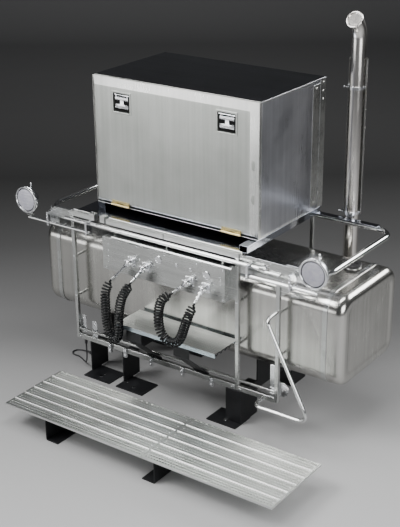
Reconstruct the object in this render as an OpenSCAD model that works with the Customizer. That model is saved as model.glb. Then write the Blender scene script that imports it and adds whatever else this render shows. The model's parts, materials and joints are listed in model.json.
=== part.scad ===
// Cross tank and locker tower for the chassis of a tractor unit.
// X runs along the tank, across the chassis, and +Z is up. The side with the
// locker's door and the couplings is the front: it faces -Y, to the trailer.
// The origin is on the floor, at the centre of the chassis bolt pattern.

/* [Tank] */
// Length of the tank over its end caps
tank_l = 2400; // [2200:10:2500]
// Depth of the tank, front to back
tank_d = 715; // [660:5:760]
// Height of the tank
tank_h = 615; // [540:5:660]
// Corner radius of the tank's section
tank_r = 120; // [80:5:160]
// Radius that blends an end cap into the tank's sides
cap_r = 55; // [30:5:70]
// Thickness of the tank's sheet
tank_wall = 5; // [3:0.5:8]
// Height of the tank's underside above the floor
tank_z = 411; // [390:1:460]
// Straight length of each welded end cap
cap_l = 70; // [40:5:120]
// Width of the weld band at each end of the shell
band_w = 34; // [20:1:60]
// Thickness of a weld band
band_t = 4; // [2:0.5:8]
// Distance of the filler neck from the middle of the tank
filler_x = 985; // [900:5:1000]
// Distance of the filler neck behind the origin
filler_y = 215; // [150:5:260]
// Outer diameter of the filler neck
filler_d = 90; // [70:1:110]
// Diameter of the domed filler cap
filler_cap_d = 112; // [100:1:130]
// Diameter of the level sender's flange
sender_d = 80; // [60:1:100]
// Diameter of the drain plug's thread
drain_d = 30; // [20:1:40]

/* [Supports] */
// Places of the left, middle and right support plates along the tank
support_x = [-760, -470, 530]; // [-1000:1:1000]
// Thickness of the folded support plate
support_t = 8; // [5:1:12]
// Width of a support's foot
foot_w = 230; // [150:5:260]
// Depth of a support's foot, front to back
foot_d = 180; // [150:5:240]
// Height of the front leg, where the bottom rails lie
leg_z = 244; // [200:1:280]
// Spacing of the chassis bolts across the truck
bolt_x = 880; // [840:5:900]
// Spacing of the chassis bolts along the truck
bolt_y = 700; // [600:10:740]
// Clearance hole for a chassis bolt
bolt_d = 18; // [12:0.5:22]
// Thickness of the rubber pad between a support and the tank
pad_t = 10; // [5:1:15]

/* [Front frame] */
// Side of the square front posts
post_w = 25; // [20:1:30]
// Distance of the posts in front of the tank
tank_gap = 58; // [50:1:80]
// Places of the front posts along the tank
post_x = [-860, 490, 790]; // [-1000:1:1000]
// Height of the bottom rail
rail_h = 36; // [30:1:45]
// Side of the thin upper rail
trim_w = 14; // [10:1:18]
// Height of the thin rail above the bottom rail
trim_gap = 30; // [20:1:60]
// Height of the channel along the front of the deck
channel_h = 35; // [25:1:45]
// Depth of that channel
channel_d = 40; // [30:1:50]
// Diameter of the long front tube
front_tube_d = 28; // [22:1:32]
// Height of the long front tube above the floor
front_tube_z = 1145; // [1140:1:1150]
// Diameter of the lamp rods and of the short spare rod
rod_d = 22; // [16:1:24]
// Height of the lamp rods above the floor
rod_z = 1091; // [1085:1:1095]

/* [Deck] */
// Height of the deck plate's top above the floor
deck_z = 1201; // [1190:1:1215]
// Thickness of the deck plate
deck_t = 6; // [3:1:8]
// Width of a bearer under the locker
bearer_w = 60; // [40:1:70]
// Height of a bearer
bearer_h = 40; // [30:1:50]
// Diameter of the hoop tube around the deck
hoop_d = 36; // [30:1:42]
// Distance of the hoop's side tubes from the centre
hoop_x = 1095; // [1060:5:1110]
// Bend radius of the hoop's corners
hoop_bend = 120; // [80:5:140]
// Distance of the hoop's rear tube behind the origin
hoop_y = 545; // [520:5:560]

/* [Locker] */
// Width of the locker
locker_w = 1300; // [1200:10:1400]
// Depth of the locker with its door
locker_d = 783; // [700:5:800]
// Height of the locker
locker_h = 879; // [800:5:950]
// Thickness of the locker's sheet
locker_wall = 3; // [2:0.5:5]
// Thickness of the door
door_t = 20; // [15:1:30]
// Gap all round the door
door_gap = 3; // [2:0.5:6]
// Distance of a hinge from the middle of the locker
hinge_from_middle = 448; // [350:1:550]
// Width of a hinge
hinge_w = 150; // [100:5:180]
// Diameter of a hinge knuckle
knuckle_d = 14; // [12:0.5:16]
// Diameter of a hinge pin
pin_d = 6; // [4:0.5:8]
// Distance of a latch from the middle of the locker
latch_from_middle = 413; // [350:1:520]
// Width of a latch's cup
latch_w = 160; // [120:1:180]
// Height of a latch's cup
latch_h = 150; // [110:1:170]
// Depth of a latch's cup
latch_d = 14; // [10:1:17]

/* [Coupling panel] */
// Length of the coupling panel
panel_w = 981; // [900:1:1000]
// Height of the coupling panel
panel_h = 226; // [200:1:240]
// Thickness of the panel's sheet
panel_t = 4; // [3:0.5:6]
// Hole for an electric socket in the panel
socket_d = 34; // [28:1:40]
// Places of the four couplings along the tank
coupling_x = [-280, -160, 187, 312]; // [-400:1:400]
// Outer diameter of a coupling's body
coupling_d = 44; // [36:1:50]
// Length of a coupling's body
coupling_l = 54; // [40:1:60]
// Diameter of a coupling's hose stub
stub_d = 16; // [12:1:20]
// Outer diameter of the coiled hoses
coil_d = 66; // [50:1:70]

/* [Step tray] */
// Length of the step tray
tray_w = 795; // [700:5:800]
// Depth of the step tray
tray_d = 250; // [200:5:255]
// Height of the step tray above the floor
tray_z = 576; // [560:1:590]
// Height of the tray's folded edge
tray_edge = 30; // [20:1:40]
// Diameter of the bent stirrup step
stirrup_d = 24; // [18:1:28]

/* [Lamps] */
// Places of the two lamps along the tank
lamp_x = [-1210, 1075]; // [-1250:1:1250]
// Height of a lamp's centre above the floor
lamp_z = 1228; // [1220:1:1240]
// Diameter of a lamp's rim
lamp_d = 190; // [160:1:200]

/* [Exhaust] */
// Place of the stack along the tank
stack_x = 747; // [700:1:800]
// Outer diameter of the stack
stack_d = 98; // [80:1:110]
// Height at which the stack starts to bend
stack_top = 2385; // [2200:5:2500]
// Bend radius of the stack's tip
stack_bend = 150; // [120:5:200]
// Angle of the stack's tip from the vertical
stack_angle = 55; // [30:1:80]
// Gap between the stack and its heat shield
shield_gap = 12; // [8:1:20]

/* [Walkway] */
// Length of the left plank
plank_left = 1120; // [900:10:1200]
// Length of the right plank
plank_right = 924; // [800:10:1000]
// Depth of the walkway
walk_d = 536; // [450:2:560]
// Height of the walkway's top above the floor
walk_z = 171; // [150:1:200]
// Height of a plank's folded edge
plank_h = 16; // [12:1:24]
// Height of a raised rib
rib_h = 6; // [3:1:10]
// Number of ribs on a plank
ribs = 5; // [3:1:7]
// Thickness of the planks' and the tray's sheet
tread_t = 3; // [2:0.5:4]

/* [Hidden] */
$fn = 48;

eps = 0.01;
steel = "silver";
satin = "lightgray";
dark_steel = "dimgray";
black = "black";

// Planes that the pieces share
frame_y = -355;
post_front = frame_y - post_w / 2;
post_back = frame_y + post_w / 2;
tank_front = post_back + tank_gap;
tank_y = tank_front + tank_d / 2;
tank_back = tank_front + tank_d;
tank_top = tank_z + tank_h;
tank_mid_z = tank_z + tank_h / 2;
shell_l = tank_l - 2 * (cap_l + cap_r);
band_x = shell_l / 2;
rail_top = leg_z + rail_h;
channel_z = deck_z - channel_h;
locker_z = deck_z + bearer_h;
locker_x0 = -760;
locker_x1 = locker_x0 + locker_w;
locker_mid = locker_x0 + locker_w / 2;
locker_y0 = -205;
locker_y1 = locker_y0 + locker_d;
door_back = locker_y0 + door_t;
hoop_z = deck_z - deck_t - hoop_d / 2;
rod_y = -405;
tube_y = post_front - front_tube_d / 2;
panel_y = -445;
panel_top = 1111;
panel_x0 = -528;
coupling_z = [990, 978, 965, 952];
stub_ends = [[-362, -562, 882], [-198, -562, 902], [136, -562, 915], [307, -562, 886]];
hinge_y = locker_y0 - knuckle_d / 2;
hinge_z = locker_z + knuckle_d / 2 + 1;
latch_z = locker_z + locker_h - 160;
paddle_pin = 7;
paddle_y = 5;
paddle_z = latch_h / 2 - 25;
lamp_y = rod_y;
lamp_pivot_z = 1126;
stack_y = hoop_y + hoop_d / 2 + 2 + stack_d / 2;
stack_wall = 3;
stack_foot = tank_top - 330;
walk_x0 = -728;
walk_y0 = -1240;

// Routes of the two coiled hoses and of the electric lead
function stub_start(i) = [coupling_x[i], panel_y - 6 - coupling_l * 0.7, coupling_z[i]];
function stub_way(i) = unit(stub_ends[i] - stub_start(i));
hose_left_route = concat(
    [stub_ends[0], stub_ends[0] + 14 * stub_way(0)],
    [
        [-383, -590, 828], [-387, -602, 790], [-387, -605, 740], [-386, -605, 680],
        [-383, -605, 615], [-375, -605, 555], [-357, -605, 503], [-324, -605, 479], [-293, -605, 505],
        [-283, -605, 560], [-280, -605, 620], [-272, -605, 690], [-260, -603, 755], [-243, -598, 810],
    ],
    [stub_ends[1] + 14 * stub_way(1), stub_ends[1]]
);
hose_right_route = concat(
    [stub_ends[2], stub_ends[2] + 12 * stub_way(2)],
    [
        [96, -598, 884], [76, -604, 858], [62, -606, 815], [54, -606, 765],
        [54, -606, 710], [64, -606, 656], [96, -606, 610], [145, -606, 589], [194, -606, 604],
        [228, -606, 648], [250, -606, 705], [270, -605, 762], [288, -600, 815],
    ],
    [stub_ends[3] + 12 * stub_way(3), stub_ends[3]]
);
lead_route = [
    [-800, -355, 206], [-800, -355, 160], [-806, -348, 110], [-822, -334, 62], [-850, -310, 28],
    [-890, -282, 9], [-935, -258, 6], [-980, -243, 6], [-1022, -241, 6], [-1052, -229, 6],
    [-1064, -204, 6], [-1056, -176, 6], [-1032, -160, 6], [-1004, -158, 9], [-975, -160, 15],
    [-962, -161, 15],
];
lead_d = 10;

function unit(v) = v / norm(v);
function tangents(p) = [
    for (i = [0:len(p) - 1]) unit(p[min(i + 1, len(p) - 1)] - p[max(i - 1, 0)])
];
function carried(v, t) = unit(v - (v * t) * t);
function side_vectors(t, first) = [
    for (i = 0, v = carried(first, t[0]); i < len(t); i = i + 1, v = i < len(t) ? carried(v, t[i]) : v) v
];

// Tube of n sides swept along the points of a route
module swept_tube(route, d, n, first) {
    t = tangents(route);
    v = side_vectors(t, first);
    rings = [
        for (i = [0:len(route) - 1])
            for (k = [0:n - 1])
                route[i] + d / 2 * (cos(360 * k / n) * v[i] + sin(360 * k / n) * cross(t[i], v[i]))
    ];
    last = (len(route) - 1) * n;
    faces = concat(
        [[for (k = [0:n - 1]) k]],
        [[for (k = [0:n - 1]) last + n - 1 - k]],
        [
            for (i = [0:len(route) - 2])
                for (k = [0:n - 1])
                    [i * n + k, (i + 1) * n + k, (i + 1) * n + (k + 1) % n]
        ],
        [
            for (i = [0:len(route) - 2])
                for (k = [0:n - 1])
                    [i * n + k, (i + 1) * n + (k + 1) % n, i * n + (k + 1) % n]
        ]
    );
    polyhedron(rings, faces);
}

// Box from its two opposite corners
module block(a, b) {
    translate(a) cube(b - a);
}

// Cylinder from one point to another
module bar(a, b, d) {
    v = b - a;
    translate(a)
        rotate([0, acos(v[2] / norm(v)), atan2(v[1], v[0])])
            cylinder(d = d, h = norm(v));
}

// Cylinder along X, from x0 to x1
module bar_x(x0, x1, y, z, d) {
    translate([x0, y, z]) rotate([0, 90, 0]) cylinder(d = d, h = x1 - x0);
}

// Cylinder along Y, from y0 to y1
module bar_y(x, y0, y1, z, d) {
    translate([x, y0, z]) rotate([-90, 0, 0]) cylinder(d = d, h = y1 - y0);
}

// Rounded rectangle centred on the origin
module rounded(w, h, r) {
    square([w - 2 * r, h], center = true);
    square([w, h - 2 * r], center = true);
    for (x = [-1, 1])
        for (y = [-1, 1])
            translate([x * (w / 2 - r), y * (h / 2 - r)]) circle(r = r);
}

// Slice of the tank's section, grown by g, from x0 to x1
module tank_slice(x0, x1, g = 0) {
    translate([x0, tank_y, tank_mid_z])
        rotate([90, 0, 90])
            linear_extrude(x1 - x0) rounded(tank_d + 2 * g, tank_h + 2 * g, tank_r + g);
}

module tank_shell() color(satin) {
    difference() {
        tank_slice(-shell_l / 2, shell_l / 2);
        tank_slice(-shell_l / 2 - 1, shell_l / 2 + 1, -tank_wall);
        translate([filler_x, filler_y, tank_top - 2 * tank_wall]) cylinder(d = filler_d, h = 3 * tank_wall);
        translate([0, tank_y, tank_top - 2 * tank_wall]) cylinder(d = sender_d / 2, h = 3 * tank_wall);
        translate([0, tank_y, tank_z - tank_wall]) cylinder(d = drain_d, h = 3 * tank_wall);
    }
}

// Solid end cap at +X, with its walls moved in by w
module cap_form(w) {
    steps = 5;
    slice = 0.5;
    hull() {
        cap_slice(shell_l / 2 - (w > 0 ? 1 : 0), slice, w);
        for (i = [0:steps])
            cap_slice(shell_l / 2 + cap_l + (cap_r - w) * sin(90 * i / steps) - slice, slice,
                      w + (cap_r - w) * (1 - cos(90 * i / steps)));
    }
}

module cap_slice(x, t, inset) {
    translate([x, tank_y, tank_mid_z])
        rotate([90, 0, 90])
            linear_extrude(t) rounded(tank_d - 2 * inset, tank_h - 2 * inset, tank_r - inset, $fn = 32);
}

module tank_cap() color(satin) {
    difference() {
        cap_form(0);
        cap_form(tank_wall);
    }
}

module tank_end_right() tank_cap();
module tank_end_left() mirror([1, 0, 0]) tank_cap();

module tank_bands() color(steel) {
    for (s = [-1, 1]) {
        difference() {
            tank_slice(s * band_x - band_w / 2, s * band_x + band_w / 2, band_t);
            tank_slice(s * band_x - band_w, s * band_x + band_w, 0);
        }
        foot_y = tank_front + tank_r;
        block([s * band_x - band_w / 2, foot_y, tank_z - band_t - 14],
              [s * band_x + band_w / 2, foot_y + 30, tank_z - band_t]);
    }
}

module tank_baffles() color(satin) {
    for (x = [-400, 400])
        difference() {
            tank_slice(x, x + tank_wall, -tank_wall);
            for (y = [-1, 1])
                for (z = [-1, 1])
                    bar_x(x - 1, x + tank_wall + 1, tank_y + y * 170, tank_mid_z + z * 130, 120);
        }
}

module filler_neck() color(steel)
    translate([filler_x, filler_y, 0]) {
        difference() {
            union() {
                translate([0, 0, tank_top - 40]) cylinder(d = filler_d - 0.2, h = 58);
                translate([0, 0, tank_top]) cylinder(d = filler_d + 16, h = 5);
            }
            translate([0, 0, tank_top - 41]) cylinder(d = filler_d - 10, h = 60);
        }
    }

module filler_cap() color(steel)
    translate([filler_x, filler_y, tank_top]) {
        difference() {
            union() {
                translate([0, 0, 6]) cylinder(d = filler_cap_d, h = 14);
                translate([0, 0, 20]) cylinder(d = filler_cap_d - 10, h = 5);
                translate([0, 0, 20])
                    intersection() {
                        translate([0, 0, 18 - filler_cap_d * 0.7]) sphere(r = filler_cap_d * 0.7);
                        cylinder(d = filler_cap_d - 16, h = 40);
                    }
            }
            translate([0, 0, 5]) cylinder(d = filler_d + 0.6, h = 13.3);
        }
    }

module level_sender() color("goldenrod") {
    translate([0, tank_y, tank_top]) cylinder(d = sender_d, h = 6);
    translate([0, tank_y, tank_top - tank_h * 0.8]) cylinder(d = sender_d / 4, h = tank_h * 0.8);
    translate([0, tank_y, tank_top]) cylinder(d = sender_d / 3, h = 24);
}

module drain_plug() color("goldenrod")
    translate([0, tank_y, tank_z]) {
        translate([0, 0, -14]) cylinder(d = drain_d * 1.5, h = 14, $fn = 6);
        cylinder(d = drain_d - 0.4, h = 16);
    }

// Folded plate with two legs, two feet and a seat for the tank; side gives the way its flanges point
module support(x, side, web) {
    front0 = -bolt_y / 2 - foot_d / 2;
    front1 = -bolt_y / 2 + foot_d / 2;
    seat0 = tank_front + tank_r;
    seat1 = tank_back - tank_r;
    seat_z = tank_z - pad_t;
    leg_y = -180;
    module plate(y0, y1, z0, z1, reach) {
        block([min(x, x + side * reach), y0, z0], [max(x, x + side * reach), y1, z1]);
    }
    difference() {
        union() {
            plate(front0, front1, 0, support_t, foot_w);
            plate(-front1, -front0, 0, support_t, foot_w);
            plate(web ? post_front - support_t : frame_y, leg_y, support_t - eps, leg_z, support_t);
            plate(-front1, -front0, support_t - eps, seat_z, support_t);
            plate(leg_y - eps, -front1 + eps, leg_z - 60, seat_z, support_t);
            plate(seat0, seat1, seat_z - support_t, seat_z, 90);
            plate(frame_y, leg_y, leg_z - support_t, leg_z, 70);
            if (web)
                block([x - 118, post_front - support_t, 0], [x, post_front, leg_z]);
        }
        for (y = [-1, 1])
            translate([bolt_place(x, side), y * bolt_y / 2, -1])
                cylinder(d = bolt_d, h = support_t + 2);
    }
}

// The two inner supports share the square pattern; the outer one has a pair of its own
function bolt_place(x, side) =
    abs(x) > bolt_x / 2 + foot_w ? x + side * foot_w / 2 : sign(x) * bolt_x / 2;

module supports() color(dark_steel) {
    support(support_x[0], 1, false);
    support(support_x[1], 1, false);
    support(support_x[2], -1, true);
}

module saddle_pads() color(black)
    for (i = [0:2]) {
        side = i == 2 ? -1 : 1;
        x = support_x[i];
        block([min(x, x + side * 90), tank_front + tank_r, tank_z - pad_t],
              [max(x, x + side * 90), tank_back - tank_r, tank_z]);
    }

module front_posts() color(steel) {
    tops = [channel_z, channel_z, deck_z - 130];
    for (i = [0:2])
        block([post_x[i] - post_w / 2, post_front, leg_z],
              [post_x[i] + post_w / 2, post_back, tops[i]]);
}

module bottom_rails() color(steel) {
    trim_z = rail_top + trim_gap;
    for (i = [0:1]) {
        x0 = post_x[i] + post_w / 2;
        x1 = post_x[i + 1] - post_w / 2;
        block([x0, post_front, leg_z], [x1, post_back, rail_top]);
        block([x0, frame_y - trim_w / 2, trim_z], [x1, frame_y + trim_w / 2, trim_z + trim_w]);
    }
}

module rail_lugs() color(steel) {
    lug_w = 26;
    lug_h = 62;
    lug_t = 16;
    for (x = [-560, -425, -199, 63, 300])
        block([x - lug_w / 2, post_front - lug_t, rail_top - lug_h],
              [x + lug_w / 2, post_front, rail_top + 4]);
}

module post_standoffs() color(steel) {
    for (x = post_x)
        for (z = [tank_z + tank_r + 40, tank_top - tank_r - 40])
            bar_y(x, post_back, tank_front, z, 18);
    for (x = [locker_x0 + bearer_w / 2, locker_x1 - bearer_w / 2])
        bar_y(x, tank_back, rear_post_y() - post_w / 2, tank_top - tank_r - 30, 18);
}

function rear_post_y() = hoop_y - hoop_d / 2 - 2 - post_w / 2;

module end_plate_right() color(steel) {
    x0 = post_x[1] + post_w / 2;
    x1 = 940;
    z0 = deck_z - 130;
    difference() {
        translate([0, frame_y + 3, 0])
            rotate([90, 0, 0])
                linear_extrude(6)
                    polygon([[x0, z0], [post_x[2] + 40, z0], [x1, z0 + 90], [x1, deck_z - 7], [x0, deck_z - 7]]);
        translate([700, frame_y + 10, front_tube_z])
            rotate([90, 0, 0]) cylinder(d = front_tube_d + 22, h = 20);
        for (x = [x0 + 25, x0 + 85, x1 - 30])
            translate([x, frame_y + 10, deck_z - 30]) rotate([90, 0, 0]) cylinder(d = 9, h = 20);
    }
}

module end_plate_left() color(steel) {
    x0 = -1071;
    x1 = post_x[0] - post_w / 2;
    z0 = deck_z - 80;
    difference() {
        translate([0, frame_y + 3, 0])
            rotate([90, 0, 0])
                linear_extrude(6)
                    polygon([[x0, z0], [x1, z0], [x1, deck_z - 7], [x0 + 50, deck_z - 7], [x0, deck_z - 40]]);
        for (x = [x0 + 40, x1 - 30])
            translate([x, frame_y + 10, deck_z - 30]) rotate([90, 0, 0]) cylinder(d = 9, h = 20);
    }
    block([-1030, frame_y - 3, z0 - 62], [-985, frame_y + 3, z0]);
}

// Bright bracket behind the foot of the right post
module post_bracket() color("white") {
    x = post_x[2];
    difference() {
        translate([0, post_back + 6, 0])
            rotate([90, 0, 0])
                linear_extrude(6) {
                    translate([x - 60, rail_top + trim_gap + trim_w]) square([60, 170]);
                    translate([x - 60, leg_z + 45]) square([110, 100]);
                    translate([x + 30, leg_z + 95]) circle(r = 50);
                }
        bar_y(x + 35, post_back - 1, post_back + 7, leg_z + 95, 10);
    }
}

module front_tubes() color(steel) {
    bend = 45;
    // Long tube, bent back at its right end
    bar_x(-903, 655, tube_y, front_tube_z, front_tube_d);
    translate([655, tube_y + bend, front_tube_z])
        rotate([0, 0, -90]) rotate_extrude(angle = 90) translate([bend, 0]) circle(d = front_tube_d);
    bar_y(655 + bend, tube_y + bend, -280, front_tube_z, front_tube_d);
    // Thin tube along the top of the coupling panel
    bar_x(-452, 498, panel_y + 8, panel_top + 8, 16);
    // Short spare rod beside the right lamp rod
    bar_x(666, 802, frame_y - 3 - 9, rod_z + 36, 16);
}

module front_channel() color(satin) {
    y0 = frame_y - channel_d / 2 + 8;
    lip = 8;
    for (s = [[post_x[0] - post_w / 2, -703], [-560, -83], [-77, post_x[1] + post_w / 2]])
        difference() {
            block([s[0], y0, channel_z], [s[1], y0 + channel_d, deck_z]);
            block([s[0] - 1, y0 + lip, channel_z + lip], [s[1] + 1, y0 + channel_d - lip, deck_z + 1]);
        }
    // Two bolted clamps between the first two lengths
    for (x = [-690, -600])
        block([x - 13, y0, channel_z], [x + 27, y0 + channel_d, deck_z + 12]);
}

module rod_clamps() color(steel) {
    hole = rod_d + 0.3;
    // On the long tube
    for (x = [-690, 600])
        difference() {
            block([x - 8, rod_y - 20, rod_z - 18], [x + 8, post_front - 1, front_tube_z + 20]);
            bar_x(x - 9, x + 9, rod_y, rod_z, hole);
            bar_x(x - 9, x + 9, tube_y, front_tube_z, front_tube_d + 0.3);
        }
    // On the end plates
    for (x = [-1035, 905])
        difference() {
            block([x - 8, rod_y - 20, rod_z - 18], [x + 8, frame_y - 3, deck_z - 30]);
            bar_x(x - 9, x + 9, rod_y, rod_z, hole);
        }
}

module lamp_rods() color(steel) {
    bar_x(lamp_x[0] - 15, -670, rod_y, rod_z, rod_d);
    bar_x(586, lamp_x[1] + 15, rod_y, rod_z, rod_d);
}

module deck_plate() color("darkslategray")
    block([post_x[0] - post_w / 2 + 30, frame_y - channel_d / 2 + 8 + channel_d, deck_z - deck_t],
          [locker_x1 - bearer_w, hoop_y + 12, deck_z]);

module deck_bearers() color(satin) {
    y1 = hoop_y + 12;
    block([locker_x0, locker_y0, deck_z], [locker_x0 + bearer_w, y1, locker_z]);
    difference() {
        block([locker_x1 - bearer_w, frame_y - channel_d / 2 + 8 + channel_d, deck_z - deck_t],
              [locker_x1, y1, locker_z]);
        block([locker_x1 - bearer_w + 4, frame_y, deck_z - deck_t + 4], [locker_x1 - 4, y1 - 4, locker_z - 4]);
    }
    // Flat bar that runs on to the right, on the hoop
    block([locker_x1, y1 - 50, deck_z - deck_t], [990, y1, deck_z - deck_t + 10]);
}

// Side tube of the hoop at +X, with a bend at each end
module hoop_side(front_x) {
    y_back = frame_y + 3 + hoop_d / 2;
    translate([hoop_x - hoop_bend, hoop_y - hoop_bend, hoop_z])
        rotate_extrude(angle = 90) translate([hoop_bend, 0]) circle(d = hoop_d);
    translate([hoop_x - hoop_bend, y_back + hoop_bend, hoop_z])
        rotate([0, 0, -90]) rotate_extrude(angle = 90) translate([hoop_bend, 0]) circle(d = hoop_d);
    bar_y(hoop_x, y_back + hoop_bend, hoop_y - hoop_bend, hoop_z, hoop_d);
    bar_x(front_x, hoop_x - hoop_bend, y_back, hoop_z, hoop_d);
}

module hoop_right() color(steel) hoop_side(830);
module hoop_left() color(steel) mirror([1, 0, 0]) hoop_side(880);
module hoop_rear() color(steel)
    bar_x(hoop_bend - hoop_x, hoop_x - hoop_bend, hoop_y, hoop_z, hoop_d);

module rear_posts() color(steel)
    for (x = [locker_x0 + bearer_w / 2, locker_x1 - bearer_w / 2])
        block([x - post_w / 2, rear_post_y() - post_w / 2, tank_top - 190],
              [x + post_w / 2, rear_post_y() + post_w / 2, deck_z - deck_t]);

module coupling_panel() color(satin) {
    x1 = panel_x0 + panel_w;
    z0 = panel_top - panel_h;
    lip = 62;
    difference() {
        union() {
            block([panel_x0, panel_y, z0], [x1, panel_y + panel_t, panel_top]);
            block([panel_x0, panel_y, z0], [panel_x0 + panel_t, panel_y + lip, panel_top]);
            block([x1 - panel_t, panel_y, z0], [x1, post_front, panel_top]);
            block([x1 - panel_t, post_front - panel_t, z0], [post_x[1] + post_w / 2, post_front, panel_top]);
            block([panel_x0, panel_y, panel_top - panel_t], [x1, tube_y + 6, panel_top]);
            // Hangers up to the long tube
            for (x = [panel_x0 + 60, -40, x1 - 60])
                block([x - 3, tube_y - 6, panel_top - panel_t], [x + 3, tube_y + 6, front_tube_z - front_tube_d / 2]);
        }
        for (h = [[-63, 1053, socket_d], [314, 1037, socket_d], [81, 1050, 14], [191, 1046, 14]])
            bar_y(h[0], panel_y - 1, panel_y + panel_t + 1, h[1], h[2]);
        for (i = [0:3])
            bar_y(coupling_x[i], panel_y - 1, panel_y + panel_t + 1, coupling_z[i], 24);
    }
}

// Coupling with its flange, body, dome and slanted stub
module couplings() color("whitesmoke")
    for (i = [0:3]) {
        p = [coupling_x[i], panel_y - 6, coupling_z[i]];
        block(p + [-32, 0, -32], p + [32, 6, 32]);
        bar_y(p[0], panel_y - 5, panel_y + 30, p[2], 23.6);
        bar_y(p[0], p[1] - coupling_l, p[1] + eps, p[2], coupling_d);
        bar(stub_start(i), stub_ends[i], stub_d);
    }

// Short ferrule on the end of each stub
module hose_ferrules() color(steel)
    for (i = [0:3]) {
        way = stub_way(i);
        difference() {
            bar(stub_ends[i] - 26 * way, stub_ends[i], stub_d + 8);
            bar(stub_ends[i] - 30 * way, stub_ends[i] + way, stub_d + 0.1);
        }
    }

module hose_coil_left() color(black) swept_tube(hose_left_route, coil_d, 12, [0, 1, 0]);
module hose_coil_right() color(black) swept_tube(hose_right_route, coil_d, 12, [0, 1, 0]);

module step_tray() color(steel) {
    x0 = -340;
    x1 = x0 + tray_w;
    y1 = tank_front - 25;
    y0 = y1 - tray_d;
    block([x0, y0, tray_z - tread_t], [x1, y1, tray_z]);
    block([x0, y0, tray_z - tray_edge], [x1, y0 + tread_t, tray_z]);
    block([x0, y1 - tread_t, tray_z - tray_edge], [x1, y1, tray_z]);
}

// Folded bracket from the tray's front edge down behind the bottom rails
module tray_bracket() color("lightsteelblue") {
    y1 = tank_front - 25;
    y0 = y1 - tray_d + tread_t;
    z1 = tray_z - tread_t;
    foot_y = post_back + 3;
    for (x = [128, -260])
        translate([x, 0, 0])
            rotate([90, 0, 90])
                linear_extrude(126)
                    polygon([
                        [y0, z1], [y0, z1 - 100], [foot_y - 3, leg_z + 40], [foot_y - 3, leg_z],
                        [foot_y + 1, leg_z], [foot_y + 1, leg_z + 42], [y0 + 4, z1 - 98], [y0 + 4, z1],
                    ]);
}

module stirrup_step() color(steel) {
    top = [post_x[2], post_front, 879];
    corner = [post_x[2], -495, 879];
    low_right = [1112, -495, 278];
    low_left = [705, -495, leg_z + rail_h / 2];
    foot = [705, post_front, leg_z + rail_h / 2];
    bar(top, corner, stirrup_d);
    bar(corner, low_right, stirrup_d);
    bar(low_right, low_left, stirrup_d);
    bar(low_left, foot, stirrup_d);
    for (p = [corner, low_right, low_left])
        translate(p) sphere(d = stirrup_d + 2);
}

module locker_body() color(satin) {
    back_flange = 26;
    difference() {
        block([locker_x0, door_back, locker_z], [locker_x1, locker_y1, locker_z + locker_h]);
        block([locker_x0 + locker_wall, door_back - 1, locker_z + locker_wall],
              [locker_x1 - locker_wall, locker_y1 - locker_wall, locker_z + locker_h - locker_wall]);
    }
    // Lip under the door, for the fixed leaves of the hinges
    block([locker_x0, locker_y0, locker_z], [locker_x1, door_back, locker_z + locker_wall]);
    // Folded rim behind the door
    for (x = [locker_x0 + locker_wall, locker_x1 - locker_wall - back_flange])
        block([x, door_back + 8, locker_z + locker_wall], [x + back_flange, door_back + 11, locker_z + locker_h - locker_wall]);
}

// Folded door pan, open to the back, with two latch openings
module locker_door() color(satin) {
    x0 = locker_x0 + door_gap;
    x1 = locker_x1 - door_gap;
    z0 = locker_z + door_gap + knuckle_d;
    z1 = locker_z + locker_h - door_gap;
    difference() {
        block([x0, locker_y0, z0], [x1, door_back - 1, z1]);
        block([x0 + 3, locker_y0 + 3, z0 + 3], [x1 - 3, door_back, z1 - 3]);
        for (s = [-1, 1])
            block([locker_mid + s * latch_from_middle - latch_w / 2 + 8, locker_y0 - 1, latch_z - latch_h / 2 + 8],
                  [locker_mid + s * latch_from_middle + latch_w / 2 - 8, door_back, latch_z + latch_h / 2 - 8]);
    }
    // Door leaves and knuckles of the hinges
    for (s = [-1, 1])
        difference() {
            union() {
                block([hinge_mid(s) - hinge_w / 2, locker_y0 - 3, hinge_z],
                      [hinge_mid(s) + hinge_w / 2, locker_y0, z0 + 22]);
                for (k = [-1, 1])
                    bar_x(hinge_mid(s) + k * hinge_w / 3 - hinge_w / 6 + 0.5,
                          hinge_mid(s) + k * hinge_w / 3 + hinge_w / 6 - 0.5, hinge_y, hinge_z, knuckle_d);
            }
            bar_x(hinge_mid(s) - hinge_w / 2 - 1, hinge_mid(s) + hinge_w / 2 + 1, hinge_y, hinge_z, pin_d + 0.1);
            block([hinge_mid(s) - hinge_w / 6 - 0.5, hinge_y - 10, hinge_z - 10],
                  [hinge_mid(s) + hinge_w / 6 + 0.5, locker_y0 + 1, z0 + 1]);
        }
}

function hinge_mid(s) = locker_mid + s * hinge_from_middle;

// Fixed leaves, under the door, with the middle knuckle
module hinge_leaves() color("goldenrod")
    for (s = [-1, 1])
        difference() {
            union() {
                block([hinge_mid(s) - hinge_w / 6, hinge_y, locker_z + locker_wall],
                      [hinge_mid(s) + hinge_w / 6, door_back, locker_z + locker_wall + 4]);
                bar_x(hinge_mid(s) - hinge_w / 6, hinge_mid(s) + hinge_w / 6, hinge_y, hinge_z, knuckle_d);
            }
            bar_x(hinge_mid(s) - hinge_w, hinge_mid(s) + hinge_w, hinge_y, hinge_z, pin_d + 0.1);
        }

module hinge_pins() color("goldenrod")
    for (s = [-1, 1])
        bar_x(hinge_mid(s) - hinge_w / 2 + 1, hinge_mid(s) + hinge_w / 2 - 1, hinge_y, hinge_z, pin_d);

module door_seal() color(black) {
    w = 12;
    x0 = locker_x0 + locker_wall + 1;
    x1 = locker_x1 - locker_wall - 1;
    z0 = locker_z + locker_wall + knuckle_d + 6;
    z1 = locker_z + locker_h - locker_wall - 1;
    difference() {
        block([x0, door_back, z0], [x1, door_back + 8, z1]);
        block([x0 + w, door_back - 1, z0 + w], [x1 - w, door_back + 9, z1 - w]);
    }
}

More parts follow.
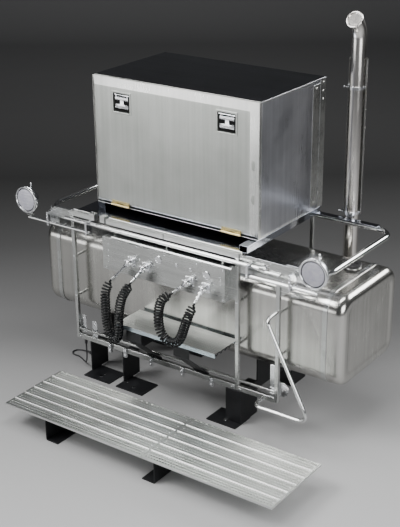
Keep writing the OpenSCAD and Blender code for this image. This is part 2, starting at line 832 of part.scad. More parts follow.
// Latch cup: a rim on the door's face and a tray behind it
module latch_cups() color(steel)
    for (s = [-1, 1])
        translate([locker_mid + s * latch_from_middle, locker_y0, latch_z]) {
            difference() {
                union() {
                    block([-latch_w / 2, -3, -latch_h / 2], [latch_w / 2, 0, latch_h / 2]);
                    block([-latch_w / 2 + 9, -1, -latch_h / 2 + 9], [latch_w / 2 - 9, latch_d, latch_h / 2 - 9]);
                }
                block([-latch_w / 2 + 20, -4, -latch_h / 2 + 20], [latch_w / 2 - 20, latch_d - 2, latch_h / 2 - 20]);
                bar_x(-latch_w / 2 + 14, latch_w / 2 - 14, paddle_y, paddle_z, paddle_pin + 0.1);
            }
        }

// Paddle that pulls out at the bottom, on a pin along its top edge
module paddle(s) {
    w = latch_w - 46;
    h = latch_h - 62;
    translate([locker_mid + s * latch_from_middle, locker_y0, latch_z]) {
        difference() {
            block([-w / 2, paddle_y - 3, 8 - h / 2], [w / 2, paddle_y + 1, paddle_z]);
            block([-w / 4, paddle_y - 5, 7 - h / 2], [w / 4, paddle_y + 2, 26 - h / 2]);
        }
        bar_x(-latch_w / 2 + 15, latch_w / 2 - 15, paddle_y, paddle_z, paddle_pin);
    }
}

module latch_paddle_left() color(steel) paddle(-1);
module latch_paddle_right() color(steel) paddle(1);

// Strikers on the locker's inner top edge
module latch_strikers() color(steel)
    for (s = [-1, 1])
        block([locker_mid + s * latch_from_middle - 25, door_back + 12, locker_z + locker_h - 60],
              [locker_mid + s * latch_from_middle + 25, door_back + 18, locker_z + locker_h - locker_wall]);

// Small foot that turns on the end of a lamp rod
module lamp_foot(x) {
    ear = 18;
    difference() {
        union() {
            block([x - ear - 4, lamp_y - 12, rod_z + 19], [x + ear + 4, lamp_y + 12, rod_z + 23]);
            for (s = [-1, 1])
                block([x + s * ear + (s > 0 ? 0 : -4), lamp_y - 12, rod_z + 19],
                      [x + s * ear + (s > 0 ? 4 : 0), lamp_y + 12, lamp_pivot_z + 8]);
        }
        bar_x(x - 30, x + 30, lamp_y, lamp_pivot_z, 8);
    }
    bar_x(x - ear - 6, x + ear + 6, lamp_y, lamp_pivot_z, 7.9);
    translate([x, lamp_y, rod_z + rod_d / 2 + 0.3]) cylinder(d = 16, h = 19 - rod_d / 2);
}

module lamp_foot_left() color(dark_steel) lamp_foot(lamp_x[0]);
module lamp_foot_right() color(dark_steel) lamp_foot(lamp_x[1]);

// Bowl, rim and lug of a lamp, with a short stud on top
module lamp(x) {
    r = lamp_d / 2;
    difference() {
        union() {
            translate([x, lamp_y - 22, lamp_z])
                rotate([90, 0, 0])
                    rotate_extrude()
                        polygon([
                            [0, -60], [r * 0.42, -60], [r * 0.62, -50], [r * 0.8, -30], [r * 0.9, -8],
                            [r * 0.94, 0], [r, 0], [r, 20], [r - 8, 20], [r - 8, 8], [r * 0.94 - 6, 8],
                            [r * 0.9 - 5, -6], [r * 0.8 - 4, -27], [r * 0.62 - 2, -46], [r * 0.42, -56],
                            [0, -56],
                        ]);
            block([x - 17, lamp_y - 9, lamp_pivot_z - 7], [x + 17, lamp_y + 9, lamp_z - r * 0.82]);
            bar_y(x, lamp_y + 37, lamp_y + 48, lamp_z, 26);
            translate([x + 18, lamp_y + 4, lamp_z + r * 0.8]) cylinder(d = 12, h = r * 0.2 + 24);
        }
        bar_x(x - 18, x + 18, lamp_y, lamp_pivot_z, 8.1);
    }
}

module lamp_left() color(steel) lamp(lamp_x[0]);
module lamp_right() color(steel) lamp(lamp_x[1]);

module lens(x) {
    r = lamp_d / 2 - 8.3;
    translate([x, lamp_y - 30.3, lamp_z])
        rotate([90, 0, 0]) {
            cylinder(r = r, h = 8);
            translate([0, 0, 8]) cylinder(r1 = r - 4, r2 = r - 30, h = 6);
        }
}

module lamp_lens_left() color("lavender") lens(lamp_x[0]);
module lamp_lens_right() color("lavender") lens(lamp_x[1]);

module stack_ring(d) {
    difference() {
        circle(d = d);
        circle(d = stack_d - 2 * stack_wall);
    }
}

// Straight tube with its foot flange, a bent tip on it, and a rolled rim on the mouth
module exhaust_stack() color(steel) {
    translate([stack_x, stack_y, stack_foot]) {
        linear_extrude(stack_top - stack_foot) stack_ring(stack_d);
        linear_extrude(10) stack_ring(stack_d + 24);
    }
    tip_z = stack_top + 0.1;
    translate([stack_x, stack_y - stack_bend, tip_z])
        rotate([90, 0, 90])
            rotate_extrude(angle = stack_angle) translate([stack_bend, 0]) stack_ring(stack_d);
    mouth_y = stack_y - stack_bend * (1 - cos(stack_angle));
    mouth_z = tip_z + stack_bend * sin(stack_angle);
    translate([stack_x, mouth_y, mouth_z])
        rotate([stack_angle, 0, 0])
            translate([0, 0, 0.1]) linear_extrude(14) stack_ring(stack_d + 18);
}

// Half tube behind the stack
module heat_shield() color(satin) {
    r = stack_d / 2 + shield_gap;
    translate([stack_x, stack_y, deck_z + 20])
        rotate_extrude(angle = 180) translate([r, 0]) square([2, stack_top - deck_z - 150]);
}

// Two clamps with a pointed ear, and two brackets back to the hoop and the tank
module stack_clamps() color("whitesmoke") {
    r = stack_d / 2 + 0.2;
    for (z = [deck_z + 18, deck_z + 860])
        translate([stack_x, stack_y, z])
            difference() {
                union() {
                    cylinder(r = r + 4, h = 22);
                    translate([0, 0, 6])
                        linear_extrude(8) polygon([[-r, 2], [-r - 42, -14], [-r, -34]]);
                    // Stand-offs that the heat shield lies on
                    intersection() {
                        translate([0, 0, 4]) cylinder(r = stack_d / 2 + shield_gap - 0.2, h = 14);
                        block([-r - 20, 6, 0], [r + 20, 20, 20]);
                    }
                }
                translate([0, 0, -1]) cylinder(r = r, h = 24);
            }
    // Saddle between the hoop and the stack
    difference() {
        block([stack_x - 30, hoop_y + hoop_d / 2 + 0.2, hoop_z - 14], [stack_x + 30, stack_y, hoop_z + 14]);
        translate([stack_x, stack_y, hoop_z - 20]) cylinder(r = r, h = 40);
    }
    // Bracket between the tank and the stack
    difference() {
        block([stack_x - 20, tank_back, tank_top - 210], [stack_x + 20, stack_y, tank_top - 190]);
        translate([stack_x, stack_y, tank_top - 220]) cylinder(r = r, h = 40);
    }
}

// Plank with folded edges and raised ribs
module plank(x0, x1) {
    top = walk_z - rib_h;
    strip = walk_d / (ribs + 1);
    block([x0, walk_y0, top - tread_t], [x1, walk_y0 + walk_d, top]);
    for (y = [walk_y0, walk_y0 + walk_d - tread_t])
        block([x0, y, top - plank_h], [x1, y + tread_t, top]);
    for (i = [1:ribs])
        block([x0 + 6, walk_y0 + i * strip - 6, top - eps], [x1 - 6, walk_y0 + i * strip + 6, walk_z]);
}

plank_joint = walk_x0 + plank_left;
module walkway_plank_left() color(satin) plank(walk_x0, plank_joint);
module walkway_plank_right() color(satin) plank(plank_joint + 4, plank_joint + 4 + plank_right);

// Bent plates that the walkway stands on
module walkway_brackets() color(dark_steel) {
    for (b = [[-388, 1], [482, -1]]) {
        x = b[0];
        side = b[1];
        inner = walk_z - rib_h - tread_t;
        block([x, walk_y0 + tread_t + 1, support_t - eps], [x + 6, walk_y0 + walk_d - tread_t - 1, inner]);
        block([min(x + 3, x + 3 + side * 95), walk_y0 + tread_t + 1, 0],
              [max(x + 3, x + 3 + side * 95), walk_y0 + walk_d - tread_t - 1, support_t]);
        block([x - 117, walk_y0 + tread_t + 1, inner - 5],
              [x + 3, walk_y0 + walk_d - tread_t - 1, inner]);
    }
}

module lead_gland() color(black) {
    p = lead_route[0];
    translate([p[0], p[1], p[2] + 6]) cylinder(d = 20, h = leg_z - p[2] - 6);
    translate(p) cylinder(d = 16, h = 8);
}

module lead_cable() color(black) swept_tube(lead_route, lead_d, 8, [0, 1, 0]);

module lead_plug() color(black)
    translate(lead_route[len(lead_route) - 1])
        rotate([0, 0, atan2(-1, 13)]) {
            bar_x(0, 26, 0, 0, 22);
            bar_x(26, 86, 0, 0, 29.8);
        }

tank_shell();
tank_end_left();
tank_end_right();
tank_bands();
tank_baffles();
filler_neck();
filler_cap();
level_sender();
drain_plug();
supports();
saddle_pads();
front_posts();
bottom_rails();
rail_lugs();
post_standoffs();
end_plate_left();
end_plate_right();
post_bracket();
front_tubes();
front_channel();
rod_clamps();
lamp_rods();
deck_plate();
deck_bearers();
hoop_left();
hoop_right();
hoop_rear();
rear_posts();
coupling_panel();
couplings();
hose_ferrules();
hose_coil_left();
hose_coil_right();
step_tray();
tray_bracket();
stirrup_step();
locker_body();
locker_door();
hinge_leaves();
hinge_pins();
door_seal();
latch_cups();
latch_paddle_left();
latch_paddle_right();
latch_strikers();
lamp_foot_left();
lamp_foot_right();
lamp_left();
lamp_right();
lamp_lens_left();
lamp_lens_right();
exhaust_stack();
heat_shield();
stack_clamps();
walkway_plank_left();
walkway_plank_right();
walkway_brackets();
lead_gland();
lead_cable();
lead_plug();
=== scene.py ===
"""Looks of the cross tank and locker tower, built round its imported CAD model.

Everything is in metres, in the CAD model's frame: +X along the tank, +Z up,
and the front, with the locker's door and the couplings, faces -Y.
"""
import json
from math import acos, cos, pi, radians, sin, tan

import bmesh
import bpy
from mathutils import Matrix, Vector

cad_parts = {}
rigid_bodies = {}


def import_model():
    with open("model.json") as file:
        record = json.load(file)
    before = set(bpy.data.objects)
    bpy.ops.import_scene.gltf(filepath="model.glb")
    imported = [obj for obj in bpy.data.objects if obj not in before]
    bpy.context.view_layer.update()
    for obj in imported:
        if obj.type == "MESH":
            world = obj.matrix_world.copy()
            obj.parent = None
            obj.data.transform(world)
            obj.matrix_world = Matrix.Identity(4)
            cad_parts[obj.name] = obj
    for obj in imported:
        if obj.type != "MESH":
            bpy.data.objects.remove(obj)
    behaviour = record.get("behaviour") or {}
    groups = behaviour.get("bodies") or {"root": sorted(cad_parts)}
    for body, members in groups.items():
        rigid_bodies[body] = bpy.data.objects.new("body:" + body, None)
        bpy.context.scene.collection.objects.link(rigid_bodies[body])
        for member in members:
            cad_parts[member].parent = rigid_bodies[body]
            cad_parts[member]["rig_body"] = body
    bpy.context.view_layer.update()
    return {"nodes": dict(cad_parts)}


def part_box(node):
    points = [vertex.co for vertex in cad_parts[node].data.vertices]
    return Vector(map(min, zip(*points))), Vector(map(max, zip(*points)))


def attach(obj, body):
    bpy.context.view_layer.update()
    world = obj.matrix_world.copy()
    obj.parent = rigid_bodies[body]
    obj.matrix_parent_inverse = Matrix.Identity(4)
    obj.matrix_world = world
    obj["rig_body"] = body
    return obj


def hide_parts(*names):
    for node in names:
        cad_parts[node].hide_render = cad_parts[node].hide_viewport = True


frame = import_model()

X, Y, Z = Vector((1, 0, 0)), Vector((0, 1, 0)), Vector((0, 0, 1))


# ---- camera

def look(position, back, roll, lens):
    """Camera at position, looking against back, turned by roll about its own axis."""
    side = Z.cross(back).normalized()
    up = back.cross(side)
    turned_side = side * cos(roll) + up * sin(roll)
    turned_up = up * cos(roll) - side * sin(roll)
    data = bpy.data.cameras.new("camera")
    data.lens = lens
    data.sensor_width = 36
    data.clip_end = 100
    camera = bpy.data.objects.new("camera", data)
    axes = Matrix((turned_side, turned_up, back)).transposed().to_4x4()
    camera.matrix_world = Matrix.Translation(position) @ axes
    bpy.context.scene.collection.objects.link(camera)
    bpy.context.scene.camera = camera


look(
    position=Vector((4.187, -5.851, 3.918)),
    back=Vector((0.541, -0.746, 0.388)).normalized(),
    roll=radians(-0.57),
    lens=79.47,
)


# ---- small helpers

class Box:
    """A CAD node's box at rest, with its sides by name."""

    def __init__(self, node):
        self.low, self.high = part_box(node)
        self.x0, self.y0, self.z0 = self.low
        self.x1, self.y1, self.z1 = self.high
        self.centre = (self.low + self.high) / 2
        self.size = self.high - self.low


def circle(centre, side, up, radius, count):
    """Points round a circle in the plane of side and up."""
    angles = (2 * pi * k / count for k in range(count))
    return [centre + (side * cos(a) + up * sin(a)) * radius for a in angles]


def add(name, data):
    """A new object in the scene."""
    obj = bpy.data.objects.new(name, data)
    bpy.context.scene.collection.objects.link(obj)
    return obj


def frame_of(direction, hint=Z):
    """Two unit vectors that span the plane across direction."""
    if abs(direction.dot(hint)) > 0.99:
        hint = X
    side = direction.cross(hint).normalized()
    return side, side.cross(direction).normalized()


def spline(points, step):
    """Points about a step apart on a smooth curve through the given points."""
    points = [Vector(p) for p in points]
    ends = [2 * points[0] - points[1], *points, 2 * points[-1] - points[-2]]
    out = []
    for a, b, c, d in zip(ends, ends[1:], ends[2:], ends[3:]):
        count = max(1, round((c - b).length / step))
        for k in range(count):
            t = k / count
            out.append(0.5 * (2 * b + (c - a) * t + (2 * a - 5 * b + 4 * c - d) * t * t + (3 * b
                - a - 3 * c + d) * t ** 3))
    return out + [points[-1]]


def carried_frames(points):
    """(tangent, side, up) at each point, with as little twist as can be."""
    tangents = [
        (points[min(i + 1, len(points) - 1)] - points[max(i - 1, 0)]).normalized()
        for i in range(len(points))
    ]
    side, _ = frame_of(tangents[0])
    frames = []
    for tangent in tangents:
        side = (side - tangent * side.dot(tangent)).normalized()
        frames.append((tangent, side, tangent.cross(side)))
    return frames


def rounded_path(points, radius, steps=8):
    """The corners of an open path, each made into an arc of that radius."""
    points = [Vector(p) for p in points]
    out = [points[0]]
    for a, b, c in zip(points, points[1:], points[2:]):
        into, away = (b - a).normalized(), (c - b).normalized()
        turn = acos(max(-1, min(1, into.dot(away))))
        reach = min(radius * tan(turn / 2), 0.45 * (b - a).length, 0.45 * (c - b).length)
        first, last = b - into * reach, b + away * reach
        for k in range(steps + 1):
            t = k / steps
            out.append(first * (1 - t) ** 2 + 2 * b * t * (1 - t) + last * t * t)
    return out + [points[-1]]


LEAST_RADIUS = 1e-5  # of a turned shape where it closes on its axis


class Piece:
    """Collects mesh parts, then becomes one object that rides on a body."""

    def __init__(self, name):
        self.name = name
        self.bm = bmesh.new()

    def _loft(self, rings, close=True, caps=True):
        made = [[self.bm.verts.new(p) for p in ring] for ring in rings]
        count = len(made[0])
        for a, b in zip(made, made[1:]):
            for k in range(count if close else count - 1):
                n = (k + 1) % count
                self.bm.faces.new((a[k], a[n], b[n], b[k]))
        if caps:
            self.bm.faces.new(made[0][::-1])
            self.bm.faces.new(made[-1])
        return made

    def box(self, low, high, bevel=0.001):
        low, high = Vector(low), Vector(high)
        made = bmesh.ops.create_cube(self.bm, size=1)["verts"]
        centre, size = (low + high) / 2, high - low
        for v in made:
            v.co = Vector([c + s * p for c, s, p in zip(centre, size, v.co)])
        return self._eased(made, min(bevel, 0.3 * min(map(abs, size))))

    def _eased(self, verts, bevel, **options):
        """Chamfers every edge at those vertices."""
        if bevel:
            edges = {e for v in verts for e in v.link_edges}
            bmesh.ops.bevel(self.bm, geom=list(edges), offset=bevel, segments=2, profile=0.5,
                            affect="EDGES", **options)
        return self

    def tube(self, start, end, radius, end_radius=None, sides=32, bevel=0.0008):
        """Round bar between two points, with small chamfers on its ends."""
        start, end = Vector(start), Vector(end)
        end_radius = radius if end_radius is None else end_radius
        way = (end - start).normalized()
        side, up = frame_of(way)
        rows = [
            (start, radius - bevel), (start + way * bevel, radius),
            (end - way * bevel, end_radius), (end, end_radius - bevel),
        ]
        self._loft([circle(at, side, up, r, sides) for at, r in rows])
        return self

    def sweep(self, points, radius, sides=32, inner=None):
        """Bar or, with an inner radius, pipe along a path."""
        points = [Vector(p) for p in points]
        frames = carried_frames(points)

        def rings(r):
            return [circle(at, side, up, r, sides) for at, (_, side, up) in zip(points, frames)]

        outer = self._loft(rings(radius), caps=inner is None)
        if inner is not None:
            bore = self._loft(rings(inner)[::-1], caps=False)
            for a, b in ((outer[0], bore[-1]), (outer[-1], bore[0])):
                for k in range(sides):
                    n = (k + 1) % sides
                    face = (a[k], b[k], b[n], a[n])
                    self.bm.faces.new(face if a is outer[0] else face[::-1])
        return self

    def lathe(self, origin, axis, profile, sides=40):
        """Turned shape: profile is (distance along axis, radius) from one end to the other."""
        origin, axis = Vector(origin), Vector(axis).normalized()
        side, up = frame_of(axis)
        self._loft([circle(origin + axis * along, side, up, max(r, LEAST_RADIUS), sides)
                    for along, r in profile])
        return self

    def prism(self, outline, start, end, bevel=0.0008):
        """Outline swept straight: its points are vectors, start and end are offsets."""
        made = self._loft([[Vector(p) + Vector(start) for p in outline],
                           [Vector(p) + Vector(end) for p in outline]])
        return self._eased([v for ring in made for v in ring], bevel, clamp_overlap=True)

    def hexagon(self, at, axis, across, height, sides=6):
        """Bolt head or nut, across its flats."""
        axis = Vector(axis).normalized()
        r = across / 2 / cos(pi / sides)
        c = 0.12 * across
        return self.lathe(at, axis, [(0, r * 0.96), (c * 0.3, r), (height - c * 0.5, r),
                                     (height, r * 0.86)], sides)

    def bolt(self, at, axis, thread):
        """Washer, hexagon and the stub of its thread."""
        at, axis = Vector(at), Vector(axis).normalized()
        self.lathe(at, axis, [(0, thread * 1.15), (thread * 0.18, thread * 1.15)], 24)
        self.hexagon(at + axis * thread * 0.18, axis, thread * 1.7, thread * 0.75)
        return self.lathe(at + axis * thread * 0.9, axis,
            [(0, thread * 0.45), (thread * 0.25, thread * 0.45), (thread * 0.35, thread * 0.36)],
            16)

    def rivet(self, at, axis, radius):
        return self.lathe(at, axis, [(0, radius), (radius * 0.25, radius * 0.95),
                                     (radius * 0.5, radius * 0.6), (radius * 0.58, 0)], 16)

    def plate(self, xs, zs, place, skip=()):
        """Sheet over a grid of columns and rows; place(x, z) gives each corner."""
        made = {(i, j): self.bm.verts.new(place(x, z))
                for i, x in enumerate(xs) for j, z in enumerate(zs)}
        for i in range(len(xs) - 1):
            for j in range(len(zs) - 1):
                if (i, j) not in skip:
                    self.bm.faces.new((made[i, j], made[i + 1, j],
                                       made[i + 1, j + 1], made[i, j + 1]))
        return self

    def perforated(self, columns, rows, place, hole):
        """Sheet of cells with a round hole each, of radius hole(i, j), or 0 for none.

        columns and rows are the cell borders, and place(u, v) gives a point of the sheet.
        """
        for i, (u0, u1) in enumerate(zip(columns, columns[1:])):
            for j, (v0, v1) in enumerate(zip(rows, rows[1:])):
                um, vm = (u0 + u1) / 2, (v0 + v1) / 2
                border = [(u0, v0), (um, v0), (u1, v0), (u1, vm),
                          (u1, v1), (um, v1), (u0, v1), (u0, vm)]
                outer = [self.bm.verts.new(place(u, v)) for u, v in border]
                radius = hole(i, j)
                if not radius:
                    self.bm.faces.new(outer)
                    continue
                inner = [self.bm.verts.new(place(um + radius * cos(a),
                    vm + radius * sin(a))) for a in (radians(225 + 45 * k) for k in range(8))]
                for k in range(8):
                    n = (k + 1) % 8
                    self.bm.faces.new((outer[k], outer[n], inner[n], inner[k]))
        return self

    def done(self, material, body, replaces=(), slot=None, smooth=35, solid=0, bevel=0):
        """The finished object; solid is the thickness given to a sheet."""
        bmesh.ops.remove_doubles(self.bm, verts=self.bm.verts, dist=1e-6)
        bmesh.ops.recalc_face_normals(self.bm, faces=self.bm.faces)
        mesh = bpy.data.meshes.new(self.name)
        self.bm.to_mesh(mesh)
        self.bm.free()
        obj = finish_piece(add(self.name, mesh), material, body, replaces, smooth)
        if solid:
            sheet = obj.modifiers.new("sheet", "SOLIDIFY")
            sheet.thickness, sheet.offset = solid, 0
        if bevel:
            add_bevel(obj, bevel)
        even_normals(obj)
        return obj


def finish_piece(obj, material, body, replaces=(), smooth=35):
    obj.data.materials.clear()
    obj.data.materials.append(material)
    if obj.type == "MESH" and smooth:
        obj.data.shade_smooth()
        obj.data.set_sharp_from_angle(angle=radians(smooth))
    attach(obj, body)
    if replaces:
        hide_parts(*([replaces] if isinstance(replaces, str) else replaces))
    return obj


def add_bevel(obj, width, angle=40, segments=2):
    edge = obj.modifiers.new("edges", "BEVEL")
    edge.width, edge.segments = width, segments
    edge.limit_method, edge.angle_limit = "ANGLE", radians(angle)
    edge.use_clamp_overlap = True


def even_normals(obj):
    """Large faces keep their own shading next to small chamfers and sheet edges."""
    even = obj.modifiers.new("normals", "WEIGHTED_NORMAL")
    even.mode, even.weight, even.keep_sharp = "FACE_AREA", 50, True


def body_of(node):
    return frame["nodes"][node]["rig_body"]


def refined(node, material, bevel, smooth=35):
    """The CAD node's own shape with its edges eased, as sheet metal and bar stock have them."""
    bm = bmesh.new()
    bm.from_mesh(frame["nodes"][node].data)
    bmesh.ops.remove_doubles(bm, verts=bm.verts, dist=2e-5)
    bmesh.ops.dissolve_limit(bm, angle_limit=radians(0.5), verts=bm.verts, edges=bm.edges)
    mesh = bpy.data.meshes.new(node + "_shape")
    bm.to_mesh(mesh)
    bm.free()
    obj = finish_piece(add(node + "_shape", mesh), material, body_of(node), node, smooth=smooth)
    if bevel:
        add_bevel(obj, bevel)
    even_normals(obj)
    return obj


# ---- materials

class Surface:
    """A Principled material with its noise, ramp and bump nodes."""

    def __init__(self, name, metallic=0.0, **sockets):
        self.material = bpy.data.materials.new(name)
        self.material.use_nodes = True
        self.tree = self.material.node_tree
        self.shader = self.tree.nodes["Principled BSDF"]
        self.shader.inputs["Metallic"].default_value = metallic
        for socket, value in sockets.items():
            self.shader.inputs[socket.replace("_", " ")].default_value = value
        self.place = self.tree.nodes.new("ShaderNodeTexCoord").outputs["Object"]
        self.height = None

    def node(self, kind, links=(), **values):
        made = self.tree.nodes.new("ShaderNode" + kind)
        for key, value in values.items():
            setattr(made, key, value)
        for socket, source in dict(links).items():
            if isinstance(source, bpy.types.NodeSocket):
                self.tree.links.new(source, made.inputs[socket])
            else:
                made.inputs[socket].default_value = source
        return made

    def noise(self, scale, stretch=(1, 1, 1), detail=4.0, roughness=0.55):
        """Noise of that many cells a metre, drawn out along the axes with a small stretch."""
        mapped = self.node("Mapping", {"Vector": self.place, "Scale": stretch})
        return self.node("TexNoise", {
            "Vector": mapped.outputs[0], "Scale": scale, "Detail": detail, "Roughness": roughness,
        }).outputs["Fac"]

    def spots(self, scale, size):
        """0 in small round specks, 1 elsewhere."""
        cells = self.node("TexVoronoi", {"Vector": self.place, "Scale": scale})
        return self.ramp(cells.outputs["Distance"], size * 0.6, size)

    def ramp(self, source, low, high, start=0.0, end=1.0):
        return self.node("MapRange", {
            "Value": source, "From Min": low, "From Max": high, "To Min": start, "To Max": end,
        }).outputs[0]

    def mix(self, factor, a, b):
        mixed = self.node("Mix", data_type="RGBA")
        for socket, source in zip((mixed.inputs[0], mixed.inputs[6], mixed.inputs[7]),
                                  (factor, a, b)):
            if isinstance(source, bpy.types.NodeSocket):
                self.tree.links.new(source, socket)
            else:
                socket.default_value = source if isinstance(source, float) else (*source, 1)
        return mixed.outputs[2]

    def math(self, operation, a, b):
        return self.node("Math", {0: a, 1: b}, operation=operation).outputs[0]

    def colour(self, source):
        self.tree.links.new(source, self.shader.inputs["Base Color"])

    def roughness(self, source):
        self.tree.links.new(source, self.shader.inputs["Roughness"])

    def bump(self, source, distance, strength=1.0):
        links = {"Height": source, "Distance": distance, "Strength": strength}
        if self.height:
            links["Normal"] = self.height
        self.height = self.node("Bump", links).outputs["Normal"]
        self.tree.links.new(self.height, self.shader.inputs["Normal"])


def brushed(name, dark, light, rough, grain, spread=0.08, depth=0.00002, smudge=0.5, **sockets):
    """Sheet or bar metal: brushing lines along the grain, handling smudges and fine pits."""
    s = Surface(name, metallic=1.0, **sockets)
    lines = s.noise(220, grain, 5.0, 0.65)
    wide_lines = s.noise(38, grain, 3.0)
    cloud = s.noise(2.6, detail=5.0, roughness=0.6)
    pits = s.spots(170, 0.16)
    shade = s.math("ADD", s.math("MULTIPLY", wide_lines, 0.45), s.math("MULTIPLY", cloud, 0.55))
    tone = s.mix(s.ramp(shade, 0.36, 0.64), dark, light)
    s.colour(s.mix(s.ramp(pits, 0, 1, 0.35, 0.0), tone, [0.55 * c for c in dark]))
    wiped = s.ramp(cloud, 0.40, 0.66, -smudge * spread, smudge * spread)
    streaks = s.ramp(lines, 0.3, 0.7, rough - spread / 2, rough + spread / 2)
    s.roughness(s.math("ADD", wiped, streaks))
    s.bump(lines, depth)
    s.bump(pits, depth * 2)
    return s.material


def painted(name, dark, light, rough, chips, depth=0.0001, **sockets):
    """Painted steel: orange peel, dust in patches and small chips of another colour."""
    s = Surface(name, **sockets)
    peel = s.noise(420, detail=2.0)
    dust = s.noise(7, detail=6.0, roughness=0.7)
    flakes = s.noise(34, detail=7.0, roughness=0.75)
    tone = s.mix(s.ramp(dust, 0.35, 0.7), dark, light)
    s.colour(s.mix(s.ramp(flakes, 0.70, 0.74), tone, chips))
    s.roughness(s.ramp(dust, 0.3, 0.7, rough - 0.1, rough + 0.12))
    s.bump(peel, depth)
    return s.material


def moulded(name, dark, light, rough, depth=0.00025, scale=300, **sockets):
    """Rubber or plastic: fine grain, scuffs and a dusty bloom."""
    s = Surface(name, **sockets)
    grain = s.noise(scale, detail=3.0)
    bloom = s.noise(9, detail=5.0, roughness=0.7)
    scuffs = s.noise(60, (1, 1, 0.25), 6.0, 0.7)
    s.colour(s.mix(s.ramp(bloom, 0.35, 0.75), dark, light))
    s.roughness(s.math("ADD", s.ramp(scuffs, 0.3, 0.7, rough - 0.06, rough + 0.08),
                       s.ramp(bloom, 0.4, 0.7, 0.0, 0.08)))
    s.bump(grain, depth)
    return s.material


ALONG_X, ALONG_Z, NO_GRAIN = (0.02, 1, 1), (1, 1, 0.02), (1, 1, 1)
DOOR = brushed("door_sheet", (0.405, 0.42, 0.395), (0.52, 0.535, 0.51), 0.36, ALONG_Z)
# Lighter copy of the door sheet: its lightness is a painted highlight on the door's tilted top band
# and right margin, and is used on the locker's trim too
SHEET_PAINTED_BRIGHT = brushed("door_sheet_painted_bright", (0.66, 0.67, 0.65), (0.78, 0.78, 0.76), 0.30, ALONG_Z,
                 depth=0.00001)
# Side sheet: its lighter, bluish tone is a painted reflection
SIDE_PAINTED_REFLECTION = brushed("side_sheet_painted_reflection", (0.44, 0.45, 0.49), (0.58, 0.59, 0.63), 0.33, ALONG_Z)
# Mirror sheet: its dark tone is a painted reflection of the dark backdrop, here and on the deck
# plate and bearers
MIRROR_PAINTED_DARK = brushed("mirror_sheet_painted_dark", (0.24, 0.255, 0.29), (0.34, 0.355, 0.40), 0.12, ALONG_X,
                 spread=0.05, depth=0.00001)
TANK = brushed("tank_skin", (0.44, 0.435, 0.415), (0.60, 0.595, 0.565), 0.24, ALONG_Z, spread=0.06,
               depth=0.00001)
STEEL = brushed("brushed_stainless", (0.46, 0.47, 0.46), (0.62, 0.63, 0.62), 0.28, ALONG_X,
                depth=0.00002)
POST = brushed("post_stainless", (0.50, 0.51, 0.50), (0.68, 0.69, 0.68), 0.26, ALONG_Z)
ROD = brushed("polished_rod", (0.66, 0.67, 0.67), (0.84, 0.84, 0.84), 0.13, ALONG_X, spread=0.06)
CAST = brushed("bright_casting", (0.72, 0.73, 0.75), (0.90, 0.91, 0.93), 0.22, NO_GRAIN,
               spread=0.12, depth=0.00008)
CHANNEL = brushed("ribbed_aluminium", (0.56, 0.57, 0.56), (0.74, 0.75, 0.74), 0.34, ALONG_X)
BLUE = brushed("folded_blue_steel", (0.44, 0.52, 0.57), (0.58, 0.66, 0.71), 0.30, ALONG_X)
TREAD = brushed("tread_sheet", (0.50, 0.52, 0.50), (0.70, 0.72, 0.70), 0.36, ALONG_X,
                depth=0.00008)
SHIELD = brushed("shield_sheet", (0.44, 0.44, 0.43), (0.62, 0.62, 0.60), 0.34, ALONG_Z)
PIPE = brushed("stack_pipe", (0.56, 0.54, 0.52), (0.74, 0.72, 0.69), 0.20, ALONG_Z)
BRASS = brushed("hinge_brass", (0.42, 0.34, 0.15), (0.64, 0.54, 0.29), 0.28, ALONG_X)
DARK = painted("dark_paint", (0.005, 0.0052, 0.006), (0.013, 0.0135, 0.015), 0.46,
               (0.08, 0.08, 0.08), Specular_IOR_Level=0.3)
SOOT = painted("soot", (0.010, 0.010, 0.010), (0.030, 0.028, 0.026), 0.8, (0.06, 0.055, 0.05))
WELL = painted("latch_well", (0.002, 0.002, 0.002), (0.005, 0.005, 0.005), 0.6,
               (0.02, 0.02, 0.02), Specular_IOR_Level=0.15)
RUBBER = moulded("black_rubber", (0.012, 0.012, 0.013), (0.035, 0.035, 0.037), 0.62)
HOSE = moulded("coil_hose", (0.002, 0.0025, 0.003), (0.006, 0.007, 0.008), 0.17, depth=0.00005,
               Specular_IOR_Level=0.28)
PLASTIC = moulded("black_plastic", (0.010, 0.010, 0.011), (0.026, 0.026, 0.028), 0.35)
WIRE = moulded("pigtail_wire", (0.13, 0.060, 0.030), (0.26, 0.13, 0.07), 0.4)
CABLE = moulded("lead_sheath", (0.010, 0.010, 0.011), (0.028, 0.028, 0.030), 0.42)


def lens_glass():
    """Moulded lamp glass: fine pillow ribs, a frosted sheen and a little dust."""
    s = Surface("lamp_glass", Transmission_Weight=0.55, IOR=1.45, Coat_Weight=0.5,
                Coat_Roughness=0.05)
    ribs = s.node("TexWave", {"Vector": s.place, "Scale": 26.0, "Distortion": 0.4},
                  bands_direction="X").outputs["Fac"]
    rows = s.node("TexWave", {"Vector": s.place, "Scale": 15.0, "Distortion": 0.3},
                  bands_direction="Z").outputs["Fac"]
    dust = s.noise(30, detail=6.0, roughness=0.7)
    s.colour(s.mix(s.ramp(dust, 0.35, 0.7), (0.70, 0.69, 0.82), (0.90, 0.90, 0.97)))
    s.roughness(s.ramp(dust, 0.3, 0.75, 0.10, 0.26))
    s.bump(ribs, 0.0012, 0.8)
    s.bump(rows, 0.0008, 0.6)
    return s.material


LENS = lens_glass()


# ---- coiled hoses, lead

